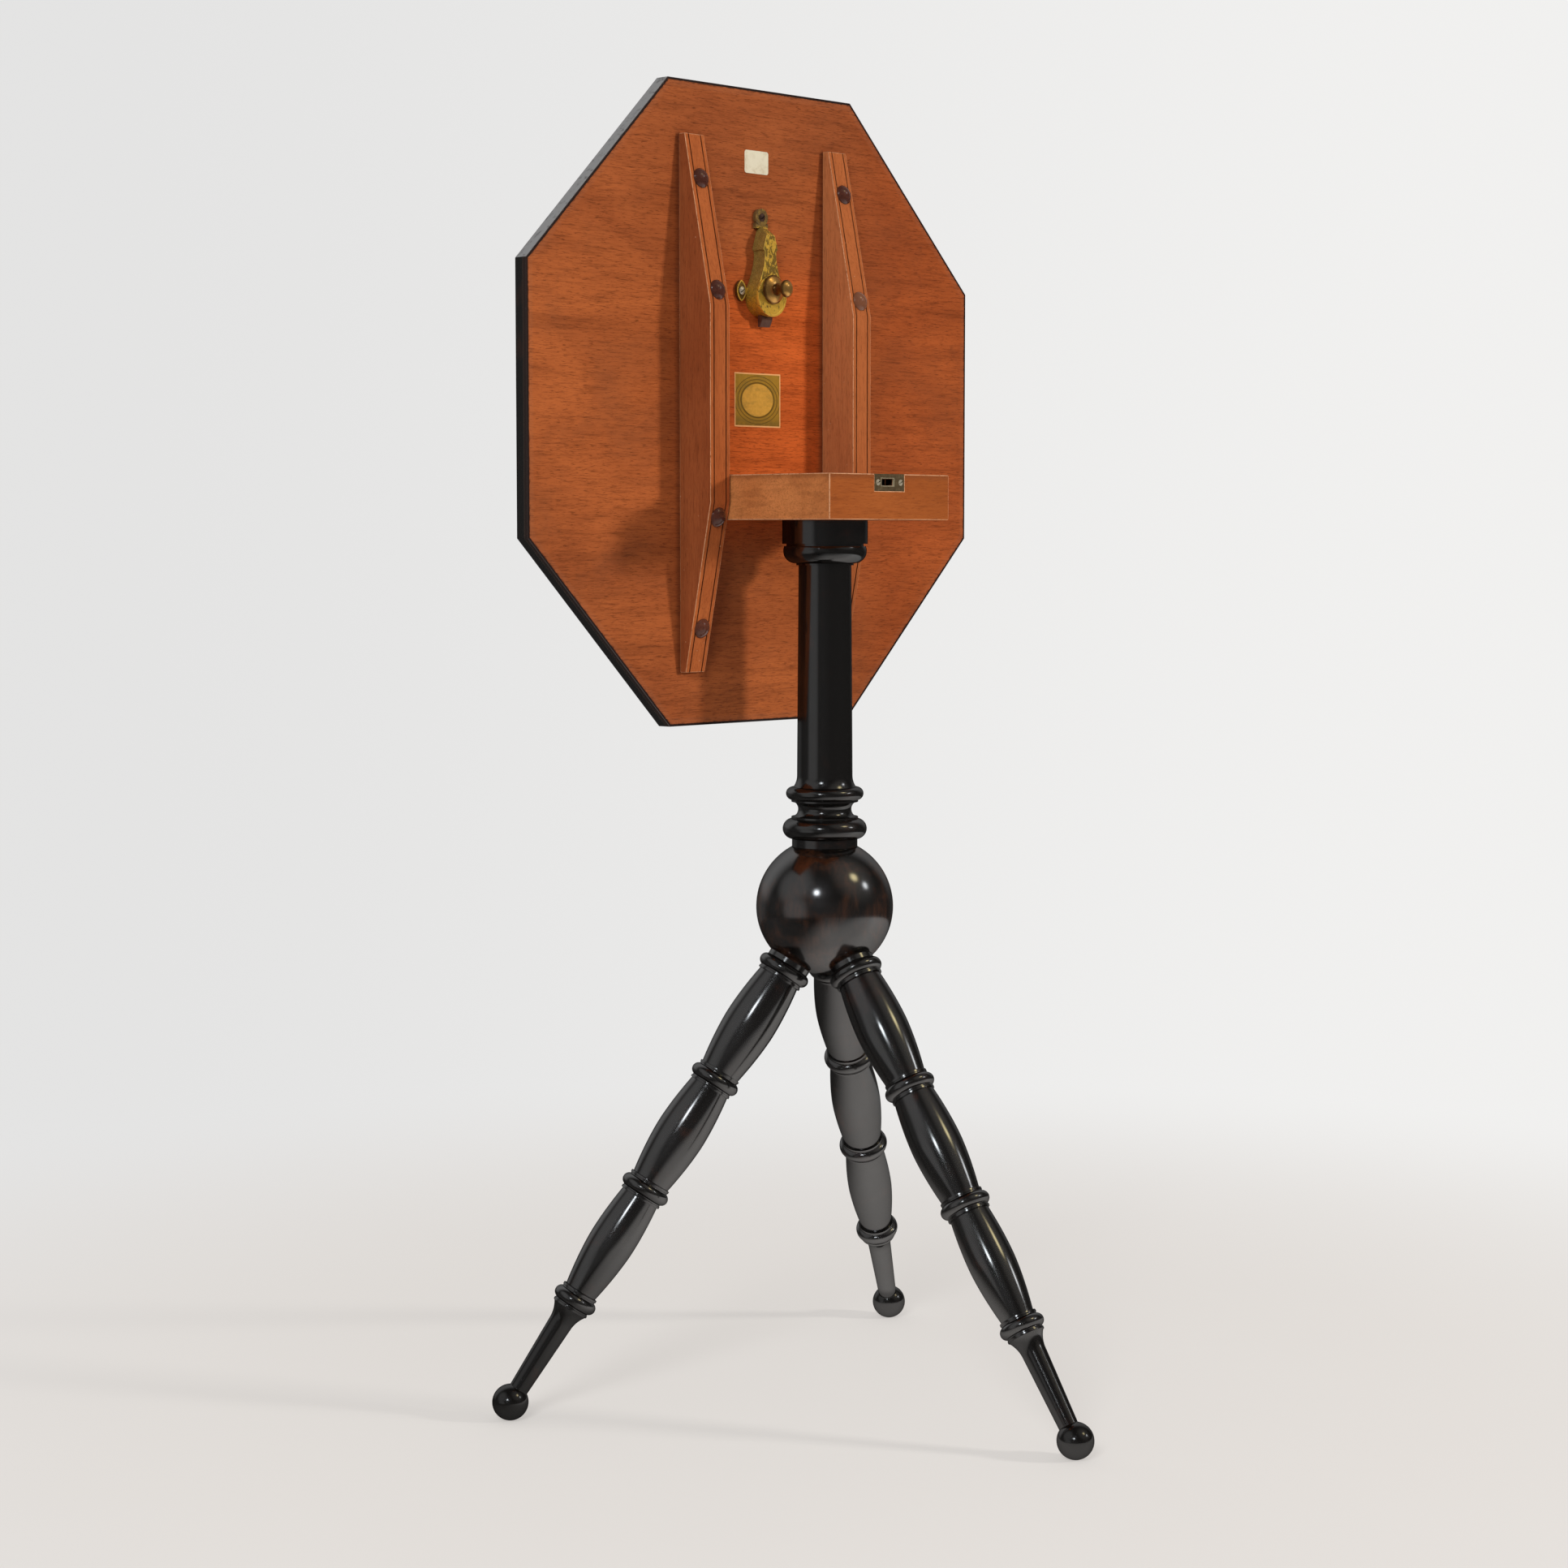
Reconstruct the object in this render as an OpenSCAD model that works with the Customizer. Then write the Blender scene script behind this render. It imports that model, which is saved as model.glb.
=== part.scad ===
// Octagonal tilt-top occasional table on a turned tripod pedestal, in millimetres.
// The top is drawn raised: the pivot runs along X and the underside of the top faces -Y.
// The floor is Z = 0.

/* [Top] */
// Width of the octagonal top across its flats
top_flats = 487; // [440:1:560]
// Thickness of the top with its lipping
top_t = 12; // [10:0.5:18]
// Width of the ebonised lipping round the edge
lipping_w = 1.8; // [1.4:0.1:4]
// Thickness of the ebonised sheet on the show face
veneer_t = 0.9; // [0.6:0.1:2]
// Chamfer on the outer edge of the show face
edge_ease = 1; // [0.2:0.1:1.2]

/* [Bearers] */
// Length of each bearer
bearer_len = 405; // [340:1:430]
// Length of the straight middle of each bearer
bearer_mid = 147; // [100:1:170]
// Width of each bearer
bearer_w = 20.5; // [18:0.5:28]
// Depth of each bearer along its straight middle
bearer_d = 33; // [28:0.5:40]
// Depth of each bearer at its two ends
bearer_tip = 6; // [4:0.5:10]
// Gap between each bearer and the side of the block
bearer_gap = 2; // [1:0.1:5]
// Width of the two scratched grooves along the face of a bearer
groove_w = 1.2; // [0.6:0.1:2]
// Depth of the scratched grooves
groove_d = 0.9; // [0.4:0.1:2]
// Distance from the arris of a bearer to its groove
groove_in = 3.4; // [1.2:0.1:4]
// Diameter of the domed wooden buttons over the screws
button_d = 15.2; // [12:0.1:17]
// Height of the dome of a button
button_h = 4.6; // [3:0.1:6]
// Distance of the inner buttons from the break of the taper
button_break = 11.5; // [10:0.5:20]
// Distance of the outer buttons from the ends of the bearer
button_end = 33.5; // [20:0.5:45]

/* [Block] */
// Width of the block along the pivot
block_w = 134; // [110:1:170]
// Length of the block across the pivot
block_l = 133.5; // [110:0.5:170]
// Thickness of the block
block_t = 34.2; // [28:0.2:45]
// Distance of the pivot from the top and the back of the block
pivot_in = 7; // [6:0.1:10]
// Diameter of the pintles
pintle_d = 10; // [6:0.1:11]
// Length of a pintle inside the block
pintle_held = 24; // [15:1:40]
// Length of a pintle inside its bearer
pintle_out = 12; // [8:0.5:14]

/* [Column] */
// Height of the column from its seat on the ball to the block
column_h = 250.2; // [220:0.2:320]
// Diameter of the cap under the block
cap_d = 65.5; // [56:0.5:80]
// Height of the cap under the block
cap_h = 18; // [12:0.5:26]
// Diameter of the quarter round under the cap
ovolo_d = 64; // [58:0.5:72]
// Radius of the quarter round under the cap
ovolo_r = 9.5; // [8:0.1:10]
// Diameter of the shaft at its top
shaft_top_d = 40.4; // [34:0.2:44]
// Diameter of the shaft at its foot
shaft_foot_d = 42.7; // [38:0.2:46]
// Height of the flare at the foot of the shaft
flare_h = 9; // [6:0.5:14]
// Diameter of the upper ring
ring_d = 59.7; // [54:0.1:66]
// Height of the upper ring
ring_h = 9.9; // [8:0.1:12]
// Diameter of the waist between the two rings
waist_d = 41; // [34:0.2:44]
// Height of the waist between the two rings
waist_h = 11.5; // [8:0.1:14]
// Diameter of the lower ring
base_ring_d = 64.8; // [60:0.1:72]
// Height of the lower ring
base_ring_h = 15.7; // [12:0.1:18]
// Diameter of the neck above the ball
neck_d = 50.4; // [46:0.2:56]
// Height of the neck above the ball
neck_h = 6; // [4:0.1:10]
// Diameter of the tenon through the block
tenon_d = 28; // [20:1:34]
// Diameter of the spigot in the ball
spigot_d = 28; // [20:1:32]
// Length of the spigot in the ball
spigot_l = 22; // [14:1:26]

/* [Legs] */
// Diameter of the ball that the legs spring from
ball_d = 105.6; // [98:0.2:120]
// Distance from the centre of the ball to the centre of a foot
leg_len = 446.2; // [400:0.2:500]
// Distance of the foot centres from the column axis
leg_reach = 249; // [220:1:270]
// Distance from the last ring of a leg to the centre of its foot
ankle_len = 90.7; // [70:0.1:110]
// Distance from the seat of a leg to the middle of its collar
collar_up = 8.7; // [7:0.1:12]
// Diameter of the seat of a leg on the ball
seat_d = 34.8; // [30:0.2:38]
// Diameters of the collar and of the three rings below it
leg_ring_d = [42.2, 39.8, 39.2, 34.8]; // [30:0.2:46]
// Thickness of the rings of a leg
leg_ring_t = 10; // [7:0.1:11]
// Largest diameters of the three barrels
belly_d = [40.6, 39.2, 35.6]; // [32:0.2:44]
// Diameters of the barrels where they meet the fillets
barrel_end_d = [33.4, 31.9, 30.6, 25.6]; // [22:0.2:36]
// Diameter of the ankle below its cove
ankle_top_d = 18.6; // [16:0.2:22]
// Diameter of the ankle above the foot
ankle_d = 14; // [11:0.2:18]
// Height of the cove at the top of the ankle
cove_h = 14; // [9:0.5:20]
// Diameter of the ball feet
foot_d = 27.7; // [24:0.1:34]
// Height worn off the underside of each foot
foot_worn = 0.4; // [0.2:0.1:1]
// Diameter of the spigots of the legs
leg_spigot_d = 20; // [14:0.5:22]
// Length of the spigots of the legs
leg_spigot_l = 22; // [12:1:24]

/* [Catch] */
// Place of the catch along the pivot, from the middle of the top
catch_x = -3; // [-20:0.5:20]
// Gap between the closed catch and the block
catch_gap = 2.8; // [1.5:0.1:4]
// Diameter of the round drum of the catch
drum_d = 31.4; // [29:0.2:38]
// Height of the drum off the underside
drum_h = 14.5; // [13.5:0.1:18]
// Height of the neck of the catch off the underside
catch_neck_h = 12.7; // [12.5:0.1:16]
// Distance from the middle of the drum to the top of the neck
catch_neck_l = 53.4; // [50:0.2:64]
// Thickness of the three screw lugs
lug_t = 3; // [2:0.1:4]
// Width of the bolt
bolt_w = 11.5; // [9:0.1:12]
// Thickness of the nose of the bolt
nose_t = 4.4; // [3:0.1:5]
// Height of the middle of the bolt off the underside
bolt_up = 6.4; // [6:0.1:7]
// Length of the nose that stands out of the drum
nose_l = 7.5; // [5:0.1:9]
// Travel of the bolt
bolt_travel = 7; // [5:0.1:8]
// Place of the knob above the middle of the drum
knob_up = 5; // [2:0.1:5.5]
// Diameter of the domed flange of the knob
knob_flange_d = 22.4; // [20:0.2:26]
// Diameter of the end of the knob
knob_end_d = 13.4; // [10:0.2:16]
// Height of the knob above the drum
knob_h = 18.4; // [14:0.2:24]
// Diameter of the spring over its turns
spring_d = 6; // [4.5:0.1:6.2]
// Diameter of the spring wire
spring_wire = 0.8; // [0.5:0.1:1]
// Number of turns of the spring
spring_turns = 9; // [6:1:12]

/* [Strike] */
// Width of the strike plate
strike_w = 33; // [28:0.5:44]
// Height of the strike plate
strike_h = 12.7; // [11:0.1:16]
// Thickness of the strike plate
strike_t = 1.5; // [1:0.1:2.5]
// Shift of the strike plate from the bolt
strike_shift = 2; // [-4:0.5:4]

/* [Labels] */
// Width of the small paper label
paper_w = 26; // [16:0.5:40]
// Height of the small paper label
paper_h = 17.5; // [10:0.5:24]
// Place of the small paper label along the pivot
paper_x = -6; // [-20:0.5:20]
// Distance of the middle of the small paper label from the upper edge of the top
paper_in = 55.5; // [40:0.5:70]
// Width of the gilt label
gilt_w = 51; // [30:0.5:70]
// Height of the gilt label
gilt_h = 41.5; // [20:0.5:60]
// Place of the gilt label along the pivot
gilt_x = -5; // [-30:0.5:30]
// Place of the gilt label above the middle of the top
gilt_up = 6; // [-10:0.5:20]
// Thickness of the labels
label_t = 0.2; // [0.1:0.05:0.4]

/* [Fits] */
// Gap between the raised or closed top and the block
top_clear = 0.3; // [0.2:0.05:1]
// Running clearance of the pintles in the bearers, on the radius
pintle_fit = 0.06; // [0.02:0.01:0.1]
// Glue gap round spigots, tenons and plugs, on the radius
glue_fit = 0.05; // [0.02:0.01:0.2]
// Sliding clearance of the bolt in its case
slide_fit = 0.3; // [0.2:0.05:0.5]
// Clearance round screws, on the radius
screw_fit = 0.1; // [0.05:0.05:0.3]

/* [Hidden] */
$fn = 96;

// Colours
ebony = "#1a1715";
mahogany = "#a8552d";
dark_wood = "#5a2f26";
brass = "#b8912f";
bronze = "#7d5a34";
iron = "#3c3836";
paper = "#efe6cc";
gilt = "#8f7a35";

// A fine count of sides for the large circles that cut shallow curves
fine = 720;
// Room beyond a face so that a cut runs clean through it
past = 1;
// Hidden overlap that joins a turned band to its wider neighbour
lap = 0.3;
// Sides of the octagon
sides = 8;
half_corner = 180 / sides;

// Heights and places of the pedestal
foot_z = foot_d / 2 - foot_worn;
leg_drop = sqrt(leg_len * leg_len - leg_reach * leg_reach);
splay = asin(leg_reach / leg_len);
ball_z = foot_z + leg_drop;
column_z = ball_z + sqrt(pow(ball_d / 2, 2) - pow(neck_d / 2, 2));
block_z = column_z + column_h;
block_top = block_z + block_t;
headings = [270, 150, 30];

// The pivot, and the raised top over it. The closed top is centred on the column.
pivot_y = block_l / 2 - pivot_in;
pivot_z = block_top - pivot_in;
under_y = block_l / 2 + top_clear;
top_z = pivot_z + pivot_y;
top_half = top_flats / 2;
board_half = top_half - lipping_w;
board_t = top_t - veneer_t;

// The frame stands under the middle of the whole outline
back_reach = max(leg_reach * sin(30) + foot_d / 2, under_y + top_t);
front_reach = leg_reach + foot_d / 2;
frame_y = (front_reach - back_reach) / 2;

// Column mouldings, from the seat on the ball upwards
fillet_h = 1.4;
base_fillet_d = waist_d + 10.4;
waist_end_d = waist_d + 7;
flare_d = shaft_foot_d + 5.4;
shaft_fillet_d = shaft_top_d + 3.6;
cap_recess_d = cap_d - 6.4;
cap_recess_h = 1.7;
ovolo_above = 3.7;
base_ring_z = neck_h;
base_fillet_z = base_ring_z + base_ring_h;
waist_z = base_fillet_z + fillet_h;
ring_fillet_z = waist_z + waist_h;
ring_z = ring_fillet_z + fillet_h;
flare_z = ring_z + ring_h;
shaft_z = flare_z + flare_h;
cap_z = column_h - cap_h;
cap_recess_z = cap_z - cap_recess_h;
ovolo_z = cap_recess_z - ovolo_above - ovolo_r;
shaft_fillet_z = ovolo_z - fillet_h;
tenon_l = block_t - top_clear;
wedge_top = 3;
wedge_tip = 0.8;
wedge_l = block_t * 0.75;

// Leg turnings, measured from the centre of the ball
seat_s = sqrt(pow(ball_d / 2, 2) - pow(seat_d / 2, 2));
collar_s = seat_s + collar_up;
ring_pitch = (leg_len - ankle_len - collar_s) / 3;
leg_ring_s = [for (i = [0:3]) collar_s + i * ring_pitch];
leg_fillet_gap = 0.8;
leg_fillet_h = 1.8;
leg_fillet_drop = 5.8;
leg_gap_drop = 6.8;
leg_cove_drop = 7.1;

// Bearers
bearer_x = block_w / 2 + bearer_gap;
taper_l = (bearer_len - bearer_mid) / 2;
taper = atan((bearer_d - bearer_tip) / taper_l);
button_places = [bearer_mid / 2 + button_break, bearer_len / 2 - button_end];
button_shank_d = 10;
button_shank_l = 3.6;
button_edge = 0.6;
screw_d = 4;
screw_head_d = 8;
screw_head_h = 2.4;
screw_bite = 6.5;
screw_point = 3;
screw_tip_d = 1;
screw_slot_w = 0.9;
screw_slot_d = 0.8;

// Catch
drum_r = drum_d / 2;
drum_up = block_l / 2 + catch_gap + drum_r;
drum_bevel = 0.8;
case_wall = 2.4;
plate_t = 1.2;
bolt_low = plate_t + slide_fit;
bolt_high = bolt_up + 4.2;
channel_high = bolt_high + slide_fit;
channel_half = bolt_w / 2 + slide_fit;
bolt_foot = -(drum_r - case_wall - slide_fit);
bolt_head = knob_up + 7.5;
channel_end = bolt_head + bolt_travel + slide_fit;
spring_end = catch_neck_l - 9.4;
spring_half = spring_d / 2 + slide_fit;
spring_seat = 0.05;
nose_low = bolt_up - nose_t / 2;
nose_high = bolt_up + nose_t / 2;
nose_tip = -(drum_r + nose_l);
tip_chamfer_l = 5.2;
tip_chamfer_t = nose_t * 0.6;
knob_stem_d = 5;
knob_stem_in = 4.5;
knob_clear = 0.4;
knob_edge = 1;
knob_dome_h = 4;
knob_end_h = 4.6;
knob_neck_d = 5.6;
knob_neck_end_d = 9.6;
neck_top_half = 2.6;
neck_shoulder_half = 7.6;
neck_waist_half = 6.6;
neck_flare_half = 8.6;
neck_ramp_l = 7;
neck_ramp_low = lug_t + 1.4;
side_lug_x = drum_r + 6.4;
side_lug_up = 3.7;
side_lug_half = 5;
side_lug_l = 16.4;
top_lug_r = 6.8;
top_lug_up = catch_neck_l + 7.4;
top_lug_bar = 3;
lug_screw_d = 2.8;
lug_screw_head_d = 6.2;
lug_screw_head_h = 1.6;
lug_screw_edge = 0.4;
lug_screw_bite = 6;
lug_screw_turn = 35;
lug_places = [[0, top_lug_up], [-side_lug_x, side_lug_up], [side_lug_x, side_lug_up]];

// Strike
strike_slot_w = bolt_w + 2.5;
strike_slot_room = 0.5;
strike_slot_top = nose_low - top_clear - strike_slot_room;
strike_slot_h = nose_t + 2 * strike_slot_room;
strike_mortise_l = 9;
strike_mortise_room = 0.3;
strike_screw_d = 2.4;
strike_screw_head_d = 4.6;
strike_screw_l = 12;
strike_screw_in = 3.9;
strike_screw_turn = 20;
strike_screw_places = [strike_shift - strike_w / 2 + strike_screw_in,
                       strike_shift + strike_w / 2 - strike_screw_in];

// Shared placing and shapes

module placed() {
    translate([0, frame_y, 0]) children();
}

// Draws in the plane of the underside: X along the pivot, Y up, Z out of the underside
module on_top() {
    placed() translate([0, under_y, top_z]) rotate([90, 0, 0]) children();
}

module on_catch() {
    on_top() translate([catch_x, drum_up, 0]) children();
}

// Draws on the front of the block: X along the pivot, Y up from the top edge, Z outwards
module on_strike() {
    placed() translate([catch_x, -block_l / 2, block_top]) rotate([90, 0, 0]) children();
}

// Draws along a leg, with Z from the centre of the ball to the foot
module on_leg(heading) {
    placed() translate([0, 0, ball_z]) rotate([0, 0, heading]) rotate([0, 180 - splay, 0]) children();
}

// Extrudes a drawing of Y and Z by a width along X
module across(width) {
    rotate([90, 0, 90]) linear_extrude(width) children();
}

// Octagon with a flat at each side, from the distance of its flats to its middle
module octagon(half) {
    rotate(half_corner) circle(r = half / cos(half_corner), $fn = sides);
}

module rounded_plate(w, h, r) {
    square([w - 2 * r, h], center = true);
    square([w, h - 2 * r], center = true);
    for (x = [-1, 1], y = [-1, 1])
        translate([x * (w / 2 - r), y * (h / 2 - r)]) circle(r);
}

// Half of a turned ring, from low upwards
module ring_half(low, d, t) {
    translate([0, low]) square([d / 2 - t / 2, t]);
    translate([d / 2 - t / 2, low + t / 2]) circle(d = t);
}

// Half of a plain turned band
module band_half(low, d, h) {
    translate([0, low]) square([d / 2, h]);
}

// Half of a hollow between two wider bands
module hollow_half(low, end_d, waist, h) {
    depth = (end_d - waist) / 2;
    r = (h * h / 4 + depth * depth) / (2 * depth);
    difference() {
        translate([0, low - lap]) square([end_d / 2, h + 2 * lap]);
        translate([waist / 2 + r, low + h / 2]) circle(r, $fn = fine);
    }
}

// Half of a cove that narrows upwards from a wider band
module cove_half(low, wide_d, narrow_d, h) {
    depth = (wide_d - narrow_d) / 2;
    r = (h * h + depth * depth) / (2 * depth);
    difference() {
        translate([0, low - lap]) square([wide_d / 2, h + lap]);
        translate([narrow_d / 2 + r, low + h]) circle(r, $fn = fine);
    }
}

// Middle of the circle through three points
function arc_middle(a, b, c) =
    let (d = 2 * (a.x * (b.y - c.y) + b.x * (c.y - a.y) + c.x * (a.y - b.y)))
    [((a * a) * (b.y - c.y) + (b * b) * (c.y - a.y) + (c * c) * (a.y - b.y)) / d,
     ((a * a) * (c.x - b.x) + (b * b) * (a.x - c.x) + (c * c) * (b.x - a.x)) / d];

// Half of a barrel from one end diameter through its belly to the other
module barrel_half(low, high, low_d, belly, high_d) {
    a = [low_d / 2, low];
    b = [belly / 2, (low + high) / 2];
    c = [high_d / 2, high];
    m = arc_middle(a, b, c);
    intersection() {
        translate([0, low - lap]) square([belly, high - low + 2 * lap]);
        translate(m) circle(norm(a - m), $fn = fine);
    }
}

// Half of a low dome over a short straight edge
module dome_half(low, d, h, edge) {
    r = (d * d / 4 + h * h) / (2 * h);
    intersection() {
        translate([0, low]) square([d / 2, edge + h]);
        translate([0, low + edge + h - r]) circle(r, $fn = fine);
    }
}

// The slot across a screw's head, from the top of the head
module screw_slot(head_d) {
    cube([head_d + past, screw_slot_w, 2 * screw_slot_d], center = true);
}

// Pedestal

module column_half() {
    ovolo_in = ovolo_d / 2 - ovolo_r;
    band_half(-spigot_l, spigot_d, spigot_l + lap);
    band_half(0, neck_d, neck_h + lap);
    ring_half(base_ring_z, base_ring_d, base_ring_h);
    band_half(base_fillet_z - lap, base_fillet_d, fillet_h + lap);
    hollow_half(waist_z, waist_end_d, waist_d, waist_h);
    band_half(ring_fillet_z, base_fillet_d, fillet_h + lap);
    ring_half(ring_z, ring_d, ring_h);
    cove_half(flare_z, flare_d, shaft_foot_d, flare_h);
    polygon([[0, shaft_z - lap], [shaft_foot_d / 2, shaft_z - lap],
             [shaft_top_d / 2, shaft_fillet_z + lap], [0, shaft_fillet_z + lap]]);
    band_half(shaft_fillet_z, shaft_fillet_d, fillet_h + lap);
    translate([0, ovolo_z]) square([ovolo_in, ovolo_r + ovolo_above]);
    intersection() {
        translate([ovolo_in, ovolo_z + ovolo_r]) circle(ovolo_r);
        translate([ovolo_in - lap, ovolo_z]) square([ovolo_r + lap, ovolo_r + ovolo_above]);
    }
    band_half(cap_recess_z - lap, cap_recess_d, cap_recess_h + 2 * lap);
    band_half(cap_z, cap_d, cap_h);
    band_half(column_h - lap, tenon_d, tenon_l + lap);
}

// Side view of the wedge in the column's tenon
module wedge_side(extra) {
    polygon([[-wedge_tip / 2 - extra, tenon_l - wedge_l], [wedge_tip / 2 + extra, tenon_l - wedge_l],
             [wedge_top / 2 + extra, tenon_l], [-wedge_top / 2 - extra, tenon_l]]);
}

// Side view of the kerf for the wedge, open at the end of the tenon
module kerf_side() {
    wedge_side(glue_fit);
    translate([-wedge_top / 2 - glue_fit, tenon_l - lap]) square([wedge_top + 2 * glue_fit, lap + past]);
}

module column() {
    color(ebony) placed() translate([0, 0, column_z]) difference() {
        rotate_extrude() column_half();
        translate([-tenon_d, 0, column_h]) across(2 * tenon_d) kerf_side();
    }
}

module tenon_wedge() {
    color(mahogany) placed() translate([0, 0, column_z + column_h]) intersection() {
        translate([-tenon_d, 0, 0]) across(2 * tenon_d) wedge_side(0);
        cylinder(d = tenon_d, h = tenon_l);
    }
}

module ball() {
    color(ebony) difference() {
        placed() translate([0, 0, ball_z]) sphere(d = ball_d);
        placed() translate([0, 0, column_z]) cylinder(d = ball_d, h = ball_d);
        placed() translate([0, 0, column_z - spigot_l - past])
            cylinder(d = spigot_d + 2 * glue_fit, h = spigot_l + 2 * past);
        for (heading = headings) {
            on_leg(heading) translate([0, 0, seat_s]) cylinder(d = ball_d, h = ball_d);
            on_leg(heading) translate([0, 0, seat_s - leg_spigot_l - past])
                cylinder(d = leg_spigot_d + 2 * glue_fit, h = leg_spigot_l + 2 * past);
        }
    }
}

// One ring of a leg with its two fillets
module leg_ring_half(i) {
    d = leg_ring_d[i];
    low = leg_ring_s[i] - leg_ring_t / 2;
    high = leg_ring_s[i] + leg_ring_t / 2;
    ring_half(low, d, leg_ring_t);
    band_half(high - lap, d - leg_gap_drop, leg_fillet_gap + 2 * lap);
    band_half(high + leg_fillet_gap, d - leg_fillet_drop, leg_fillet_h);
    if (i > 0) {
        band_half(low - leg_fillet_gap - lap, d - leg_gap_drop, leg_fillet_gap + 2 * lap);
        band_half(low - leg_fillet_gap - leg_fillet_h, d - leg_fillet_drop, leg_fillet_h);
    }
}

// Distance from the middle of a ring to where its fillets end
ring_to_barrel = leg_ring_t / 2 + leg_fillet_gap + leg_fillet_h;

module leg_half() {
    ankle_s = leg_ring_s[3] + ring_to_barrel;
    cove_end = ankle_s + cove_h;
    cove_d = leg_ring_d[3] - leg_cove_drop;
    band_half(seat_s - leg_spigot_l, leg_spigot_d, leg_spigot_l + lap);
    band_half(seat_s, seat_d, collar_up);
    for (i = [0:3]) leg_ring_half(i);
    for (i = [0:2])
        barrel_half(leg_ring_s[i] + ring_to_barrel, leg_ring_s[i + 1] - ring_to_barrel,
                    barrel_end_d[i], belly_d[i], barrel_end_d[i + 1]);
    cove_half(ankle_s, cove_d, ankle_top_d, cove_h);
    polygon([[0, cove_end - lap], [ankle_top_d / 2, cove_end - lap], [ankle_d / 2, leg_len], [0, leg_len]]);
    translate([0, leg_len]) intersection() {
        circle(d = foot_d);
        translate([0, -foot_d / 2]) square([foot_d / 2, foot_d]);
    }
}

module leg(heading) {
    color(ebony) difference() {
        on_leg(heading) rotate_extrude() leg_half();
        placed() translate([-2 * leg_reach, -2 * leg_reach, -foot_d])
            cube([4 * leg_reach, 4 * leg_reach, foot_d]);
    }
}

module leg_front() {
    leg(headings[0]);
}

module leg_left() {
    leg(headings[1]);
}

module leg_right() {
    leg(headings[2]);
}

// Block

// Side view of the block, rounded about the pivot at its back top edge
module block_side() {
    difference() {
        translate([-block_l / 2, block_z]) square([block_l, block_t]);
        translate([pivot_y, pivot_z]) square(pivot_in + past);
    }
    translate([pivot_y, pivot_z]) circle(pivot_in);
}

module pintle(side, fit) {
    placed() translate([side * (block_w / 2 - pintle_held), pivot_y, pivot_z]) rotate([0, side * 90, 0])
        cylinder(d = pintle_d + 2 * fit, h = pintle_held + bearer_gap + pintle_out);
}

module strike_screw_cut(fit) {
    for (x = strike_screw_places) on_strike() translate([x, -strike_h / 2, -strike_t]) {
        cylinder(d1 = strike_screw_d + 2 * fit, d2 = strike_screw_head_d + 2 * fit, h = strike_t);
        translate([0, 0, -strike_screw_l])
            cylinder(d = strike_screw_d + 2 * fit, h = strike_screw_l + lap);
    }
}

module strike_slot(extra, depth) {
    translate([-strike_slot_w / 2 - extra, -strike_slot_top - strike_slot_h - extra, -depth])
        cube([strike_slot_w + 2 * extra, strike_slot_h + 2 * extra, depth + past]);
}

module pivot_block() {
    color(mahogany) difference() {
        placed() translate([-block_w / 2, 0, 0]) across(block_w) block_side();
        placed() translate([0, 0, block_z - past])
            cylinder(d = tenon_d + 2 * glue_fit, h = block_t + 2 * past);
        pintle(-1, glue_fit);
        pintle(1, glue_fit);
        on_strike() translate([strike_shift - strike_w / 2, -strike_h, -strike_t])
            cube([strike_w, strike_h + past, strike_t + past]);
        on_strike() strike_slot(strike_mortise_room, strike_mortise_l);
        strike_screw_cut(screw_fit);
    }
}

module pintle_left() {
    color(dark_wood) pintle(-1, 0);
}

module pintle_right() {
    color(dark_wood) pintle(1, 0);
}

module strike_plate() {
    color(brass) difference() {
        on_strike() translate([strike_shift - strike_w / 2, -strike_h, -strike_t])
            cube([strike_w, strike_h, strike_t]);
        on_strike() strike_slot(0, strike_t + past);
        strike_screw_cut(screw_fit);
    }
}

module strike_screws() {
    color(brass) difference() {
        strike_screw_cut(0);
        for (x = strike_screw_places) on_strike() translate([x, -strike_h / 2, 0])
            rotate(strike_screw_turn) screw_slot(strike_screw_head_d);
    }
}

// Top

module top_board() {
    color(mahogany) difference() {
        on_top() translate([0, 0, -board_t]) linear_extrude(board_t) octagon(board_half);
        bearer_screw_cut(screw_fit);
        catch_screw_cut(screw_fit);
    }
}

// Cross-section of the lipping: out from the middle of the top, and up through its thickness
module lipping_section() {
    polygon([[board_half, 0], [board_half, -top_t], [top_half - edge_ease, -top_t],
             [top_half, -top_t + edge_ease], [top_half, 0]]);
}

module edge_lipping() {
    corner_in = board_half * tan(half_corner);
    corner_out = top_half * tan(half_corner);
    color(ebony) for (i = [0:sides - 1]) on_top() rotate(i * 360 / sides) intersection() {
        translate([0, 0, -top_t]) linear_extrude(top_t) polygon([
            [board_half, -corner_in], [top_half, -corner_out],
            [top_half, corner_out], [board_half, corner_in]]);
        rotate([90, 0, 0]) translate([0, 0, -top_half]) linear_extrude(top_flats) lipping_section();
    }
}

module show_veneer() {
    color(ebony) on_top() translate([0, 0, -top_t]) linear_extrude(veneer_t) octagon(board_half);
}

// Side view of a bearer: along its length, and out from the underside
module bearer_side(down) {
    polygon([[-bearer_len / 2, 0], [bearer_len / 2, 0], [bearer_len / 2, bearer_tip - down],
             [bearer_mid / 2, bearer_d - down], [-bearer_mid / 2, bearer_d - down],
             [-bearer_len / 2, bearer_tip - down]]);
}

// The two grooves along the face of a bearer that starts at X = 0
module bearer_grooves() {
    for (x = [groove_in, bearer_w - groove_in - groove_w]) translate([x, 0, 0]) difference() {
        across(groove_w) bearer_side(-past);
        translate([-past, 0, 0]) across(groove_w + 2 * past) bearer_side(groove_d);
    }
}

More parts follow.
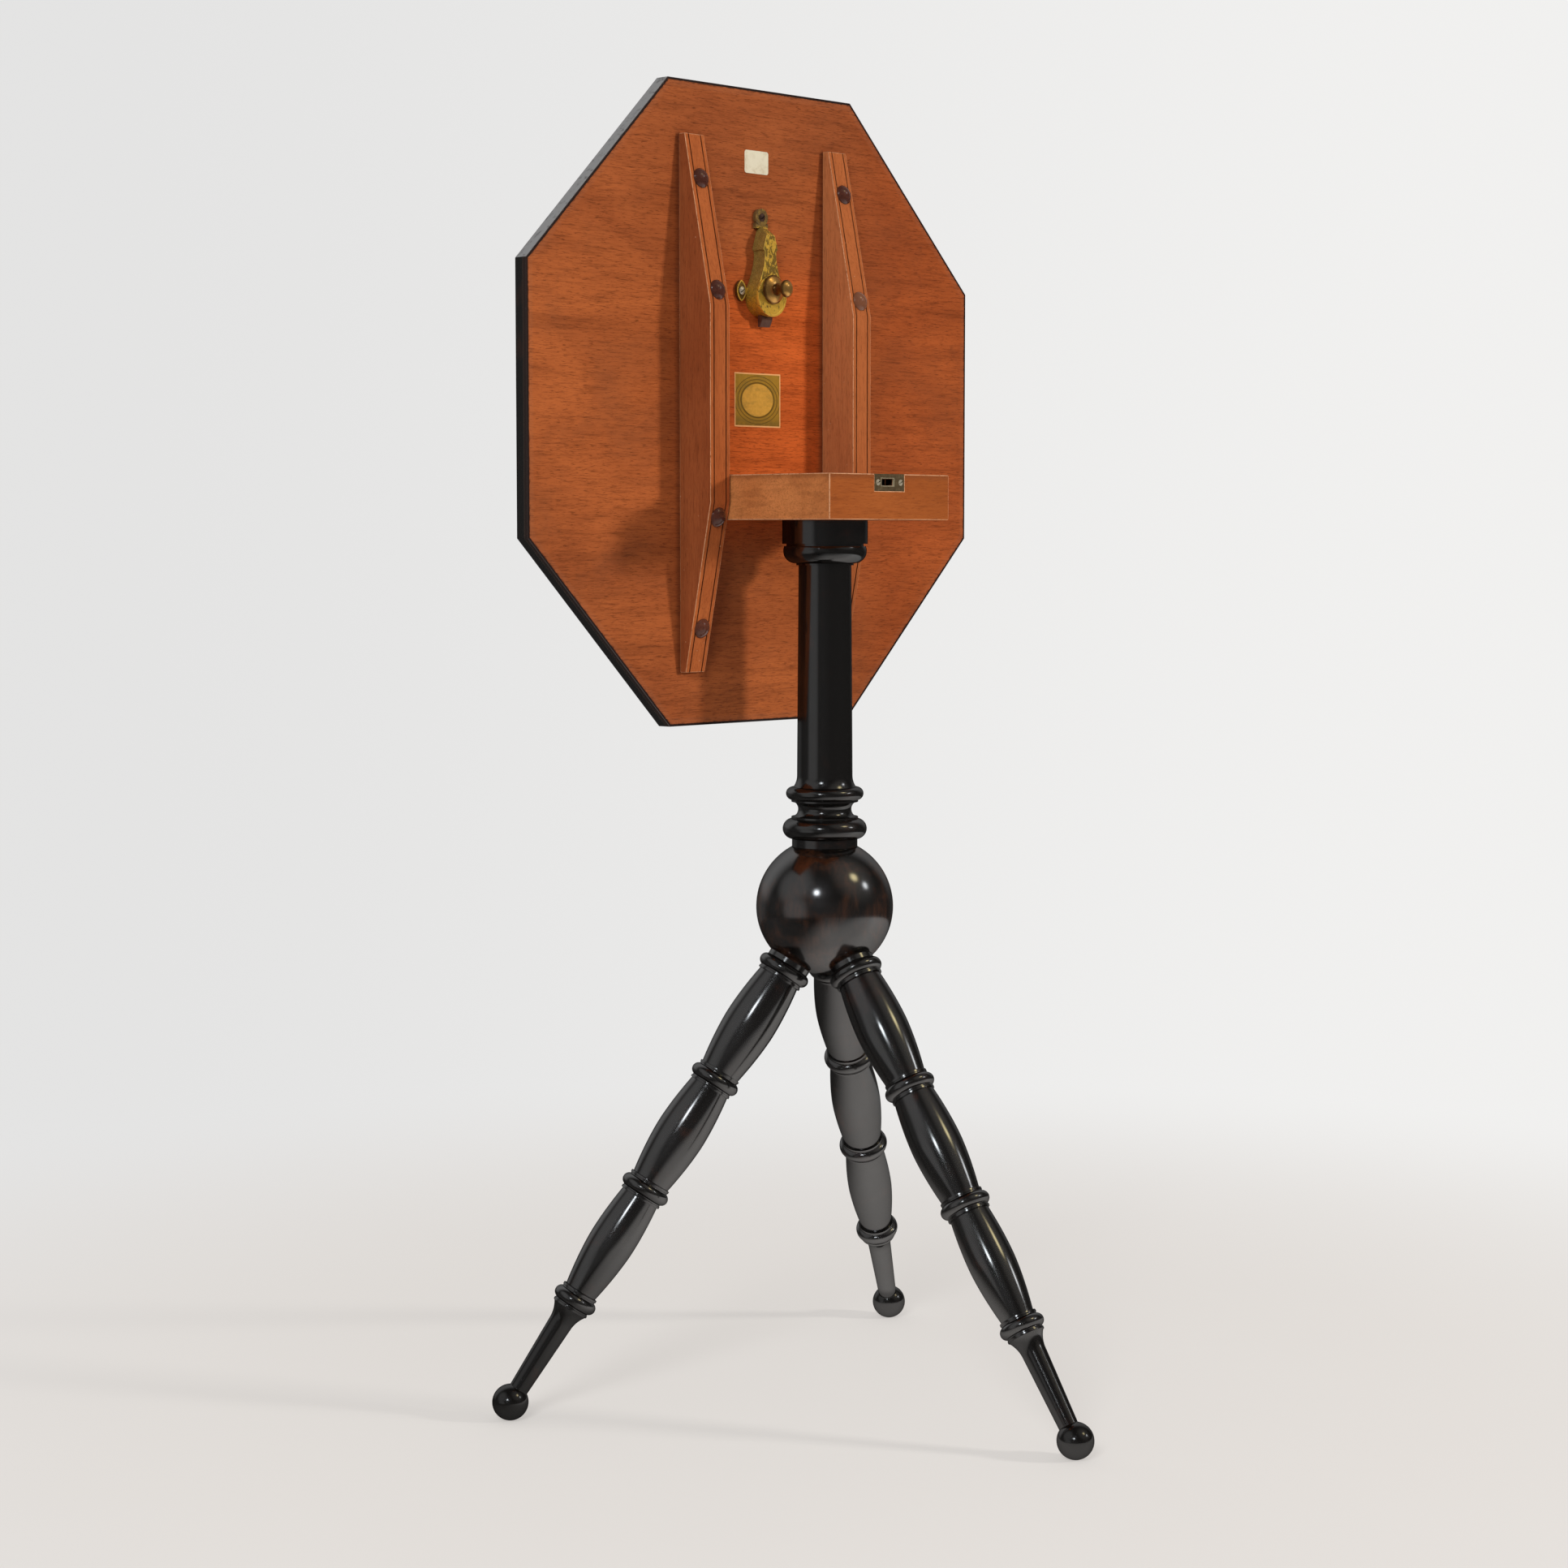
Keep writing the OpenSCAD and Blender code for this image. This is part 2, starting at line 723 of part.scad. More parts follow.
// Depth of a bearer at a distance from its middle
function bearer_depth(v) = bearer_tip + (bearer_d - bearer_tip) * (bearer_len / 2 - abs(v)) / taper_l;

// Draws at each button of one bearer, square to the tapered face
module at_buttons(side) {
    for (place = button_places, end = [-1, 1])
        on_top() translate([side * (bearer_x + bearer_w / 2), end * place, bearer_depth(place)])
            rotate([-end * taper, 0, 0]) {
                $reach = bearer_depth(place) / cos(taper);
                children();
            }
}

module bearer_screw_cut(fit) {
    for (side = [-1, 1]) at_buttons(side) bearer_screw($reach + screw_bite, fit);
}

// A screw whose head lies under the shank of its button
module bearer_screw(depth, fit) {
    head_low = -button_shank_l - screw_head_h;
    r = screw_d / 2 + fit;
    head_r = screw_head_d / 2 + fit;
    rotate_extrude() polygon([
        [0, -depth - fit], [screw_tip_d / 2 + fit, -depth - fit], [r, -depth + screw_point],
        [r, head_low - fit], [head_r, head_low - fit], [head_r, -button_shank_l],
        [0, -button_shank_l]]);
}

module bearer(side) {
    color(mahogany) difference() {
        on_top() translate([side > 0 ? bearer_x : -bearer_x - bearer_w, 0, 0]) difference() {
            across(bearer_w) bearer_side(0);
            bearer_grooves();
        }
        pintle(side, pintle_fit);
        translate([side * pintle_fit, 0, 0]) pintle(side, pintle_fit);
        at_buttons(side) translate([0, 0, -button_shank_l])
            cylinder(d = button_shank_d + 2 * glue_fit, h = button_shank_l + past + groove_d);
        at_buttons(side) bearer_screw($reach + screw_bite, screw_fit);
    }
}

module bearer_left() {
    bearer(-1);
}

module bearer_right() {
    bearer(1);
}

module bearer_screws() {
    color(iron) for (side = [-1, 1]) at_buttons(side) difference() {
        bearer_screw($reach + screw_bite, 0);
        translate([0, 0, -button_shank_l]) screw_slot(screw_head_d);
    }
}

module bearer_buttons() {
    color(dark_wood) for (side = [-1, 1]) at_buttons(side) rotate_extrude() {
        band_half(-button_shank_l, button_shank_d, button_shank_l + lap);
        dome_half(0, button_d, button_h - button_edge, button_edge);
    }
}

// Catch

// Outline of the raised neck above the drum
module catch_neck() {
    shoulder = catch_neck_l - 17;
    waist = shoulder - 6.3;
    flare = waist - 9.5;
    root = drum_r * 0.6;
    root_half = sqrt(drum_r * drum_r - root * root);
    polygon([
        [-root_half, root], [-neck_flare_half, flare], [-neck_waist_half, waist],
        [-neck_shoulder_half, shoulder], [-neck_top_half, catch_neck_l],
        [neck_top_half, catch_neck_l], [neck_shoulder_half, shoulder],
        [neck_waist_half, waist], [neck_flare_half, flare], [root_half, root]]);
}

// The slope that brings the neck down to its top lug
module neck_ramp() {
    drop = catch_neck_h - neck_ramp_low;
    over = 0.3;
    translate([-drum_r, 0, 0]) across(2 * drum_r) polygon([
        [catch_neck_l - neck_ramp_l * (1 + over), catch_neck_h + drop * over],
        [catch_neck_l + neck_ramp_l * over, neck_ramp_low - drop * over],
        [catch_neck_l + neck_ramp_l * over, catch_neck_h + drop * over]]);
}

// A lug pointed at its top and its foot
module side_lug() {
    r = (side_lug_l * side_lug_l / 4 + side_lug_half * side_lug_half) / (2 * side_lug_half);
    intersection() {
        translate([r - side_lug_half, 0]) circle(r);
        translate([side_lug_half - r, 0]) circle(r);
    }
}

module catch_lugs() {
    translate([0, top_lug_up]) circle(top_lug_r);
    translate([-top_lug_r, catch_neck_l - past]) square([2 * top_lug_r, top_lug_bar + past]);
    for (side = [-1, 1]) {
        translate([side * side_lug_x, side_lug_up]) side_lug();
        translate([side > 0 ? drum_r / 2 : -side_lug_x, side_lug_up - side_lug_half / 2])
            square([side_lug_x - drum_r / 2, side_lug_half]);
    }
}

// The way of the bolt through the case, a little smaller for the plate that closes it
module bolt_way(fit) {
    translate([-channel_half + fit, bolt_foot - slide_fit + fit])
        square([2 * (channel_half - fit), channel_end - bolt_foot + slide_fit - 2 * fit]);
}

// The way of the spring through the case
module spring_way(fit) {
    translate([-spring_half + fit, 0]) square([2 * (spring_half - fit), spring_end - fit]);
}

module catch_screw_cut(fit) {
    for (place = lug_places) on_catch() translate([place.x, place.y, -lug_screw_bite])
        cylinder(d = lug_screw_d + 2 * fit, h = lug_screw_bite + lug_t + lap);
}

module catch_case() {
    knob_slot_half = knob_stem_d / 2 + slide_fit;
    color(brass) difference() {
        on_catch() {
            rotate_extrude() polygon([[0, 0], [drum_r, 0], [drum_r, drum_h - drum_bevel],
                                      [drum_r - drum_bevel, drum_h], [0, drum_h]]);
            difference() {
                linear_extrude(catch_neck_h) catch_neck();
                neck_ramp();
            }
            linear_extrude(lug_t) catch_lugs();
        }
        on_catch() translate([0, 0, -past]) linear_extrude(channel_high + past) bolt_way(0);
        on_catch() translate([0, 0, -past]) linear_extrude(bolt_up + spring_half + past) spring_way(0);
        on_catch() translate([-channel_half, -drum_r - past, nose_low - slide_fit])
            cube([2 * channel_half, drum_r, nose_t + 2 * slide_fit]);
        on_catch() translate([-knob_slot_half, knob_up, 0])
            cube([2 * knob_slot_half, bolt_travel, drum_h + past]);
        for (y = [knob_up, knob_up + bolt_travel]) on_catch() translate([0, y, 0])
            cylinder(r = knob_slot_half, h = drum_h + past);
        catch_screw_cut(screw_fit);
    }
}

module catch_back_plate() {
    color(brass) on_catch() linear_extrude(plate_t) {
        bolt_way(glue_fit);
        spring_way(glue_fit);
    }
}

module catch_screws() {
    color(bronze) difference() {
        union() {
            catch_screw_cut(0);
            for (place = lug_places) on_catch() translate([place.x, place.y, lug_t]) rotate_extrude()
                dome_half(0, lug_screw_head_d, lug_screw_head_h - lug_screw_edge, lug_screw_edge);
        }
        for (place = lug_places) on_catch() translate([place.x, place.y, lug_t + lug_screw_head_h])
            rotate(lug_screw_turn) screw_slot(lug_screw_head_d);
    }
}

module catch_bolt() {
    color(iron) on_catch() difference() {
        union() {
            translate([-bolt_w / 2, bolt_foot, bolt_low])
                cube([bolt_w, bolt_head - bolt_foot, bolt_high - bolt_low]);
            translate([-bolt_w / 2, 0, 0]) across(bolt_w) polygon([
                [bolt_foot + past, nose_low], [nose_tip, nose_low],
                [nose_tip, nose_high - tip_chamfer_t], [nose_tip + tip_chamfer_l, nose_high],
                [bolt_foot + past, nose_high]]);
        }
        translate([0, knob_up, bolt_high - knob_stem_in - glue_fit])
            cylinder(d = knob_stem_d + 2 * glue_fit, h = knob_stem_in + past);
    }
}

// Turned knob: a stem through the slot, a domed flange, a thin neck and a flared end
module knob_half() {
    flange_low = drum_h + knob_clear;
    end_low = knob_h - knob_end_h;
    band_half(bolt_high - knob_stem_in, knob_stem_d, flange_low - bolt_high + knob_stem_in + lap);
    translate([0, flange_low]) {
        dome_half(0, knob_flange_d, knob_dome_h, knob_edge);
        hollow_half(knob_edge, knob_neck_end_d, knob_neck_d, end_low - knob_edge);
        dome_half(end_low, knob_end_d, knob_end_h - knob_edge - knob_clear, knob_edge);
    }
}

module catch_knob() {
    color(bronze) on_catch() translate([0, knob_up, 0]) rotate_extrude() knob_half();
}

// Spring: a round wire swept along a helix, ring by ring
ring_steps = 8;
wire_sides = 6;
spring_low = bolt_head + spring_wire / 2 + spring_seat;
spring_high = spring_end - spring_wire / 2 - spring_seat;
spring_r = spring_d / 2 - spring_wire / 2;
spring_pitch = (spring_high - spring_low) / spring_turns;
spring_rise = atan(spring_pitch / (2 * PI * spring_r));
spring_rings = ring_steps * spring_turns;

// A point of the wire's skin: ring i of the helix, side k of the wire
function wire_point(i, k) =
    let (turn = 360 * i / ring_steps, side = 360 * k / wire_sides, r = spring_wire / 2)
    let (out = spring_r + r * cos(side), up = r * sin(side))
    [out * cos(turn) + up * sin(spring_rise) * sin(turn),
     spring_low + (spring_high - spring_low) * i / spring_rings + up * cos(spring_rise),
     bolt_up - out * sin(turn) + up * sin(spring_rise) * cos(turn)];

module catch_spring() {
    points = [for (i = [0:spring_rings], k = [0:wire_sides - 1]) wire_point(i, k)];
    last = spring_rings * wire_sides;
    faces = concat(
        [[for (k = [0:wire_sides - 1]) k]],
        [[for (k = [wire_sides - 1:-1:0]) last + k]],
        [for (i = [0:spring_rings - 1], k = [0:wire_sides - 1]) let (n = (k + 1) % wire_sides)
            each [[i * wire_sides + k, (i + 1) * wire_sides + k, (i + 1) * wire_sides + n],
                  [i * wire_sides + k, (i + 1) * wire_sides + n, i * wire_sides + n]]]);
    echo(gap_between_turns = spring_pitch * cos(spring_rise) - spring_wire);
    color(iron) on_catch() polyhedron(points, faces);
}

// Labels

module paper_label() {
    color(paper) on_top() translate([paper_x, top_half - paper_in, 0])
        linear_extrude(label_t) rounded_plate(paper_w, paper_h, 2);
}

module gilt_label() {
    color(gilt) on_top() translate([gilt_x, gilt_up, 0])
        linear_extrude(label_t) square([gilt_w, gilt_h], center = true);
}

column();
ball();
leg_front();
leg_left();
leg_right();
pivot_block();
tenon_wedge();
pintle_left();
pintle_right();
strike_plate();
strike_screws();
top_board();
edge_lipping();
show_veneer();
bearer_left();
bearer_right();
bearer_screws();
bearer_buttons();
catch_case();
catch_back_plate();
catch_screws();
catch_spring();
paper_label();
gilt_label();
catch_bolt();
catch_knob();
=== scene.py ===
import math

import bpy
from mathutils import Matrix, Vector


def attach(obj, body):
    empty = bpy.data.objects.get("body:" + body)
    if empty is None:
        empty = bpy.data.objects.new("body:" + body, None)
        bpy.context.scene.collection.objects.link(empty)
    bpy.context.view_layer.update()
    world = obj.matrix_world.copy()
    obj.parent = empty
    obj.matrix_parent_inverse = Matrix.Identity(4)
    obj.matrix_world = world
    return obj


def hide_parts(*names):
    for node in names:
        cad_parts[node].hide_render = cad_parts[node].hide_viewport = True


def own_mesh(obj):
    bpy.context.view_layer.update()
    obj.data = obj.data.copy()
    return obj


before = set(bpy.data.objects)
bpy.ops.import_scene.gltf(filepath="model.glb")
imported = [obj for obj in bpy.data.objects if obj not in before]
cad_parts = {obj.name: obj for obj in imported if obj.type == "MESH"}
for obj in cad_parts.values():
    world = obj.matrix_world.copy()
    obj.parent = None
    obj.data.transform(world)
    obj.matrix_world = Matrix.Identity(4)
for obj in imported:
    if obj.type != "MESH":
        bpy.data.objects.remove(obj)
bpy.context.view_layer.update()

MM = 0.001
CUT = 0.001 * MM

# Places and sizes in millimetres, the same as in the part's source
COLUMN_Y = 62.25
BALL_Z, BALL_R = 383.711, 52.8
SEAT_Z, NECK_R = 430.110, 25.2
COLUMN_H = 250.2
BLOCK_LOW, BLOCK_TOP = 680.310, 714.510
BLOCK_W, BLOCK_L = 134.0, 133.5
PIVOT_IN = 7.0
PINTLE_Y, PINTLE_BORE_R, PINTLE_BORE_L = 122.0, 5.06, 12.06
UNDER_Y, TOP_T = 129.30, 12.0
TOP_Z, TOP_HALF, LIPPING_W = 767.260, 243.5, 1.8
LEG_LEN, LEG_REACH, ANKLE_LEN = 446.2, 249.0, 90.7
FOOT_R = 13.8
BEARER_X, BEARER_W, BEARER_D, BEARER_TIP = 69.0, 20.5, 33.0, 6.0
BEARER_LEN, BEARER_MID = 405.0, 147.0
GROOVE_IN, GROOVE_W, GROOVE_D = 3.4, 1.0, 0.9
BUTTON_R, BUTTON_H, BUTTON_PLACES = 7.6, 4.6, (85.0, 169.0)
CATCH_X, DRUM_Z, DRUM_R, DRUM_H = -3.0, 852.510, 15.7, 14.5
NECK_H, NECK_L, LUG_T = 12.7, 53.4, 3.0
RAMP_L, RAMP_LOW = 7.0, 4.4
LUG_X, LUG_UP = 22.1, 3.7
KNOB_UP = 5.0
BOLT_HALF, BOLT_UP, BOLT_HEAD, BOLT_TRAVEL = 5.75, 6.4, 12.5, 7.0
SPRING_END, WIRE_R, COIL_R, COIL_TURNS = 44.0, 0.4, 2.6, 9
STRIKE_SHIFT, STRIKE_W, STRIKE_H, STRIKE_T = 2.0, 33.0, 12.7, 1.5
SLOT_W, SLOT_H, SLOT_DOWN = 14.0, 5.4, 3.4
GILT_X, GILT_Z, GILT_W, GILT_H = -5.0, 773.26, 51.0, 41.5
DISC_HALF_W, DISC_HALF_H = 17.3, 12.6


# Modelling

def mm(x, y, z):
    return Vector((x, y, z)) * MM


def moved(x, y, z):
    return Matrix.Translation(mm(x, y, z))


def rotated(angle, axis):
    return Matrix.Rotation(angle, 4, axis)


def edit_mode():
    bpy.ops.object.mode_set(mode="EDIT")


def object_mode():
    bpy.ops.object.mode_set(mode="OBJECT")


def select_all():
    bpy.ops.mesh.select_all(action="SELECT")


def extrude(move):
    bpy.ops.mesh.extrude_region_move(TRANSFORM_OT_translate={"value": move})


def started(name):
    """The piece just added, under its name."""
    bpy.context.object.name = name
    return bpy.context.object


def pick_nothing():
    if bpy.context.object and bpy.context.object.mode != "OBJECT":
        object_mode()
    bpy.ops.object.select_all(action="DESELECT")


def pick(piece):
    pick_nothing()
    piece.select_set(True)
    bpy.context.view_layer.objects.active = piece


def apply_modifier(piece, name):
    pick(piece)
    bpy.ops.object.modifier_apply(modifier=name)


def cut_out(piece, cutter):
    """Cuts the cutter's shape out of the piece, and takes the cutter away."""
    cut = piece.modifiers.new("cut", "BOOLEAN")
    cut.operation = "DIFFERENCE"
    cut.solver = "EXACT"
    cut.object = cutter
    apply_modifier(piece, "cut")
    bpy.data.objects.remove(cutter)


def ease_edges(piece, width, angle, segments=2, arris=-1):
    """Rounds the sharp edges; arris is the material index that the rounded faces take."""
    bevel = piece.modifiers.new("eased", "BEVEL")
    bevel.width = width * MM
    bevel.segments = segments
    bevel.limit_method = "ANGLE"
    bevel.angle_limit = math.radians(angle)
    bevel.use_clamp_overlap = True
    bevel.material = arris
    apply_modifier(piece, "eased")


def smooth(piece, angle):
    """Smooth shading that keeps the large faces flat beside their eased edges."""
    pick(piece)
    bpy.ops.object.shade_smooth_by_angle(angle=math.radians(angle))
    weighted = piece.modifiers.new("flat_faces", "WEIGHTED_NORMAL")
    weighted.keep_sharp = True
    apply_modifier(piece, "flat_faces")


def place(piece, matrix):
    """Puts the piece where it belongs, with its place in its mesh."""
    pick(piece)
    piece.matrix_world = matrix
    bpy.ops.object.transform_apply(location=True, rotation=True, scale=True)


def select_faces(piece, test):
    """Selects, in edit mode, the faces whose middle and normal pass the test."""
    object_mode()
    for vertex in piece.data.vertices:
        vertex.select = False
    for edge in piece.data.edges:
        edge.select = False
    for face in piece.data.polygons:
        face.select = test(face.center / MM, face.normal)
    bpy.context.tool_settings.mesh_select_mode = (False, False, True)
    edit_mode()


def select_edges(piece, test):
    """Selects, in edit mode, the edges whose two ends pass the test."""
    object_mode()
    points = piece.data.vertices
    for vertex in points:
        vertex.select = False
    for face in piece.data.polygons:
        face.select = False
    for edge in piece.data.edges:
        a, b = (points[i].co / MM for i in edge.vertices)
        edge.select = test(a, b)
    bpy.context.tool_settings.mesh_select_mode = (False, True, False)
    edit_mode()


def draw_outline(name, points):
    """Draws a line of points in edit mode, one point extruded from the last."""
    pick_nothing()
    bpy.ops.mesh.primitive_plane_add(size=MM)
    piece = started(name)
    bpy.context.tool_settings.mesh_select_mode = (True, False, False)
    edit_mode()
    select_all()
    bpy.ops.mesh.merge(type="CENTER")
    bpy.ops.transform.translate(value=Vector(points[0]) * MM)
    for last, point in zip(points, points[1:]):
        move = (Vector(point) - Vector(last)) * MM
        extrude(move)
    return piece


def turn(name, half, steps, edge):
    """A turned piece: half of its outline, as radius and height, spun round Z."""
    piece = draw_outline(name, [(r, 0, z) for r, z in half])
    select_all()
    bpy.ops.mesh.spin(steps=steps, angle=2 * math.pi, center=(0, 0, 0), axis=(0, 0, 1))
    select_all()
    bpy.ops.mesh.remove_doubles(threshold=0.002 * MM)
    bpy.ops.mesh.normals_make_consistent(inside=False)
    object_mode()
    if edge:
        ease_edges(piece, edge, 33)
    smooth(piece, 40)
    turned = piece.data.attributes.new("turned", "FLOAT_VECTOR", "POINT")
    for vertex, value in zip(piece.data.vertices, turned.data):
        value.vector = vertex.co
    return piece


def copy_of(piece, name):
    twin = piece.copy()
    twin.data = piece.data.copy()
    twin.name = name
    bpy.context.collection.objects.link(twin)
    return twin


def join(pieces, name):
    pick(pieces[0])
    for piece in pieces[1:]:
        piece.select_set(True)
    bpy.ops.object.join()
    pieces[0].name = name
    return pieces[0]


def arc(cr, cz, r, start, end, count):
    """Points of an arc from one angle to another, in degrees from the outward direction."""
    angles = [math.radians(start + (end - start) * i / count) for i in range(count + 1)]
    return [(cr + r * math.cos(a), cz + r * math.sin(a)) for a in angles]


def ring(mid, r, t, before, after):
    """Half outline of a turned ring between two narrower bands."""
    c = r - t / 2
    start = math.degrees(math.acos(max(0.0, (before - c) / (t / 2))))
    end = math.degrees(math.acos(max(0.0, (after - c) / (t / 2))))
    return arc(c, mid, t / 2, -start, end, 20)


def hollow(low, high, end_r, waist_r, count):
    """Half outline of a hollow between two equal bands."""
    depth = end_r - waist_r
    half = (high - low) / 2
    r = (half * half + depth * depth) / (2 * depth)
    open_angle = math.degrees(math.asin(half / r))
    return arc(waist_r + r, low + half, r, 180 + open_angle, 180 - open_angle, count)


def cove(low, high, wide_r, narrow_r, count):
    """Half outline of a cove that narrows upwards."""
    depth = wide_r - narrow_r
    h = high - low
    r = (h * h + depth * depth) / (2 * depth)
    open_angle = math.degrees(math.asin(h / r))
    return arc(narrow_r + r, high, r, 180 + open_angle, 180, count)


def barrel(low, high, low_r, belly_r, high_r, count):
    """Half outline of a barrel: two long curves that meet in a short belly."""
    half = []
    for i in range(count + 1):
        x = 2 * i / count - 1
        end_r = low_r + (high_r - low_r) * i / count
        half.append((end_r + (belly_r - (low_r + high_r) / 2) * (1 - abs(x) ** 1.75),
            low + (high - low) * i / count))
    return half


# Node groups and materials

def add(tree, kind, inputs=None, **settings):
    node = tree.nodes.new(kind)
    for name, value in settings.items():
        setattr(node, name, value)
    for name, value in (inputs or {}).items():
        socket = node.inputs[name]
        if isinstance(value, bpy.types.NodeSocket):
            tree.links.new(value, socket)
        else:
            socket.default_value = value
    return node


def tree_of(*values):
    return next(value.id_data for value in values if isinstance(value, bpy.types.NodeSocket))


def maths(operation):
    """One kind of sum, of numbers and of what nodes give."""
    def work(a, b=0.0, clamp=False):
        return add(tree_of(a, b), "ShaderNodeMath", {0: a, 1: b}, operation=operation,
            use_clamp=clamp).outputs[0]
    return work


times, plus, minus, over, size, most, least = map(maths,
    ("MULTIPLY", "ADD", "SUBTRACT", "DIVIDE", "ABSOLUTE", "MAXIMUM", "MINIMUM"))


def mix(factor, a, b, blend="MIX"):
    mixed = add(tree_of(factor), "ShaderNodeMix", {0: factor, 6: a, 7: b}, data_type="RGBA", blend_type=blend)
    return mixed.outputs[2]


def step(value, low, high, to_low=0.0, to_high=1.0):
    """A smooth step of a value from low to high."""
    limits = {0: value, 1: low, 2: high, 3: to_low, 4: to_high}
    return add(tree_of(value), "ShaderNodeMapRange", limits, interpolation_type="SMOOTHSTEP").outputs[0]


def scaled(vector, scale, turn_by=(0, 0, 0), shift=(0, 0, 0)):
    inputs = {"Vector": vector, "Scale": scale, "Rotation": turn_by, "Location": shift}
    return add(tree_of(vector), "ShaderNodeMapping", inputs).outputs[0]


def noise(vector, scale, detail=3.0, rough=0.55, distortion=0.0):
    inputs = {"Vector": vector, "Scale": scale, "Detail": detail, "Roughness": rough,
        "Distortion": distortion}
    return add(tree_of(vector), "ShaderNodeTexNoise", inputs).outputs[0]


def xyz(vector):
    return add(tree_of(vector), "ShaderNodeSeparateXYZ", {0: vector}).outputs


def aligned(vector, way):
    """How far a vector goes along a direction."""
    return add(tree_of(vector), "ShaderNodeVectorMath", {0: vector, 1: way},
        operation="DOT_PRODUCT").outputs["Value"]


def length(vector):
    return add(tree_of(vector), "ShaderNodeVectorMath", {0: vector}, operation="LENGTH").outputs["Value"]


def flat_length(x, y):
    return length(add(tree_of(x, y), "ShaderNodeCombineXYZ", {0: x, 1: y}).outputs[0])


def feed(node, name, value):
    tree_of(value).links.new(value, node.inputs[name])


def rgb(r, g, b):
    return (r, g, b, 1.0)


def new_group(name, colours, values):
    """A group that works from a place, colours and values, and gives a colour, a roughness and a height."""
    tree = bpy.data.node_groups.new(name, "ShaderNodeTree")
    for kind, labels in (("Vector", ("Vector",)), ("Color", colours), ("Float", values)):
        for label in labels:
            tree.interface.new_socket(label, in_out="INPUT", socket_type="NodeSocket" + kind)
    for label, kind in (("Color", "Color"), ("Roughness", "Float"), ("Height", "Float")):
        tree.interface.new_socket(label, in_out="OUTPUT", socket_type="NodeSocket" + kind)
    return tree, tree.nodes.new("NodeGroupInput").outputs, tree.nodes.new("NodeGroupOutput")


def mahogany_group():
    """Mahogany with its grain along X: streaks, pores and a slow mottle."""
    tree, given, out = new_group("mahogany_figure", ("Light", "Mid", "Dark"), ("Streaks", "Mottle"))
    vector = given["Vector"]
    slow = noise(scaled(vector, (7, 16, 16)), 1.0, 5, 0.62, 0.6)
    bands = noise(scaled(vector, (5, 90, 90)), 1.0, 4, 0.6, 0.5)
    fine = noise(scaled(vector, (42, 640, 640)), 1.0, 5, 0.68, 0.4)
    flecks = noise(scaled(vector, (150, 1700, 1700)), 1.0, 3, 0.6)
    colour = mix(step(slow, 0.36, 0.66), given["Mid"], given["Light"])
    banding = times(step(bands, 0.46, 0.76), given["Mottle"], clamp=True)
    colour = mix(times(banding, 0.30), colour, given["Dark"])
    streak = times(step(fine, 0.46, 0.74), given["Streaks"], clamp=True)
    colour = mix(times(streak, 0.55), colour, given["Dark"])
    pale = step(fine, 0.44, 0.22)
    colour = mix(times(pale, 0.6), colour, given["Light"])
    pore = times(step(flecks, 0.54, 0.66), given["Streaks"], clamp=True)
    colour = mix(times(pore, 0.62), colour, given["Dark"])
    feed(out, "Color", colour)
    feed(out, "Roughness", plus(times(fine, 0.20), 0.58))
    feed(out, "Height", minus(times(fine, 0.5), pore))
    return tree


BLACK = rgb(0.0042, 0.0036, 0.0032)


def ebonised_group():
    """Black polish that has rubbed through to brown in soft patches, with faint turning lines."""
    tree, given, out = new_group("ebonised_polish", ("Rubbed",), ("Wear",))
    vector = given["Vector"]
    patches = noise(vector, 34.0, 5, 0.62, 0.5)
    grain = noise(scaled(vector, (320, 320, 40)), 1.0, 3, 0.6)
    smear = noise(vector, 120.0, 4, 0.6)
    rub = step(plus(patches, times(given["Wear"], 0.22)), 0.60, 0.80)
    rub = times(rub, step(grain, 0.25, 0.7))
    feed(out, "Color", mix(rub, BLACK, given["Rubbed"]))
    feed(out, "Roughness", plus(times(smear, 0.12), 0.13))
    lines = noise(scaled(vector, (3, 3, 900)), 1.0, 2, 0.5)
    height = plus(times(lines, 0.35), times(grain, 0.65))
    feed(out, "Height", height)
    return tree


def tarnish_group():
    """Cast metal: stippled, bright on its high spots and dull in its hollows."""
    tree, given, out = new_group("tarnished_casting", ("Bright", "Dull"), ("Stipple", "Tarnish"))
    vector = given["Vector"]
    dots = add(tree, "ShaderNodeTexVoronoi", {"Vector": vector,
        "Scale": given["Stipple"]}).outputs["Distance"]
    patches = noise(vector, 160.0, 4, 0.65)
    fine = noise(vector, 1400.0, 3, 0.6)
    pit = step(dots, 0.34, 0.62)
    dirt = step(plus(patches, times(given["Tarnish"], 0.5)), 0.55, 0.95)
    mask = most(times(pit, 0.7), dirt)
    colour = mix(mask, given["Bright"], given["Dull"])
    feed(out, "Color", mix(times(fine, 0.3), colour, given["Dull"]))
    feed(out, "Roughness", plus(times(mask, 0.25), 0.26))
    feed(out, "Height", minus(times(fine, 0.3), pit))
    return tree


MAHOGANY = mahogany_group()
EBONISED = ebonised_group()
TARNISH = tarnish_group()


def bare_material(name):
    material = bpy.data.materials.new(name)
    material.use_nodes = True
    material.node_tree.nodes.clear()
    return material, material.node_tree


def show(tree, shader, kind="Material"):
    feed(tree.nodes.new("ShaderNodeOutput" + kind), "Surface", shader.outputs[0])


def new_material(name):
    material, tree = bare_material(name)
    shader = tree.nodes.new("ShaderNodeBsdfPrincipled")
    show(tree, shader)
    return material, tree, shader


def object_place(tree, kind="Object"):
    return tree.nodes.new("ShaderNodeTexCoord").outputs[kind]


def bump(tree, shader, height, distance, strength=0.5):
    raised = add(tree, "ShaderNodeBump", {"Height": height, "Distance": distance * MM, "Strength": strength})
    feed(shader, "Normal", raised.outputs[0])


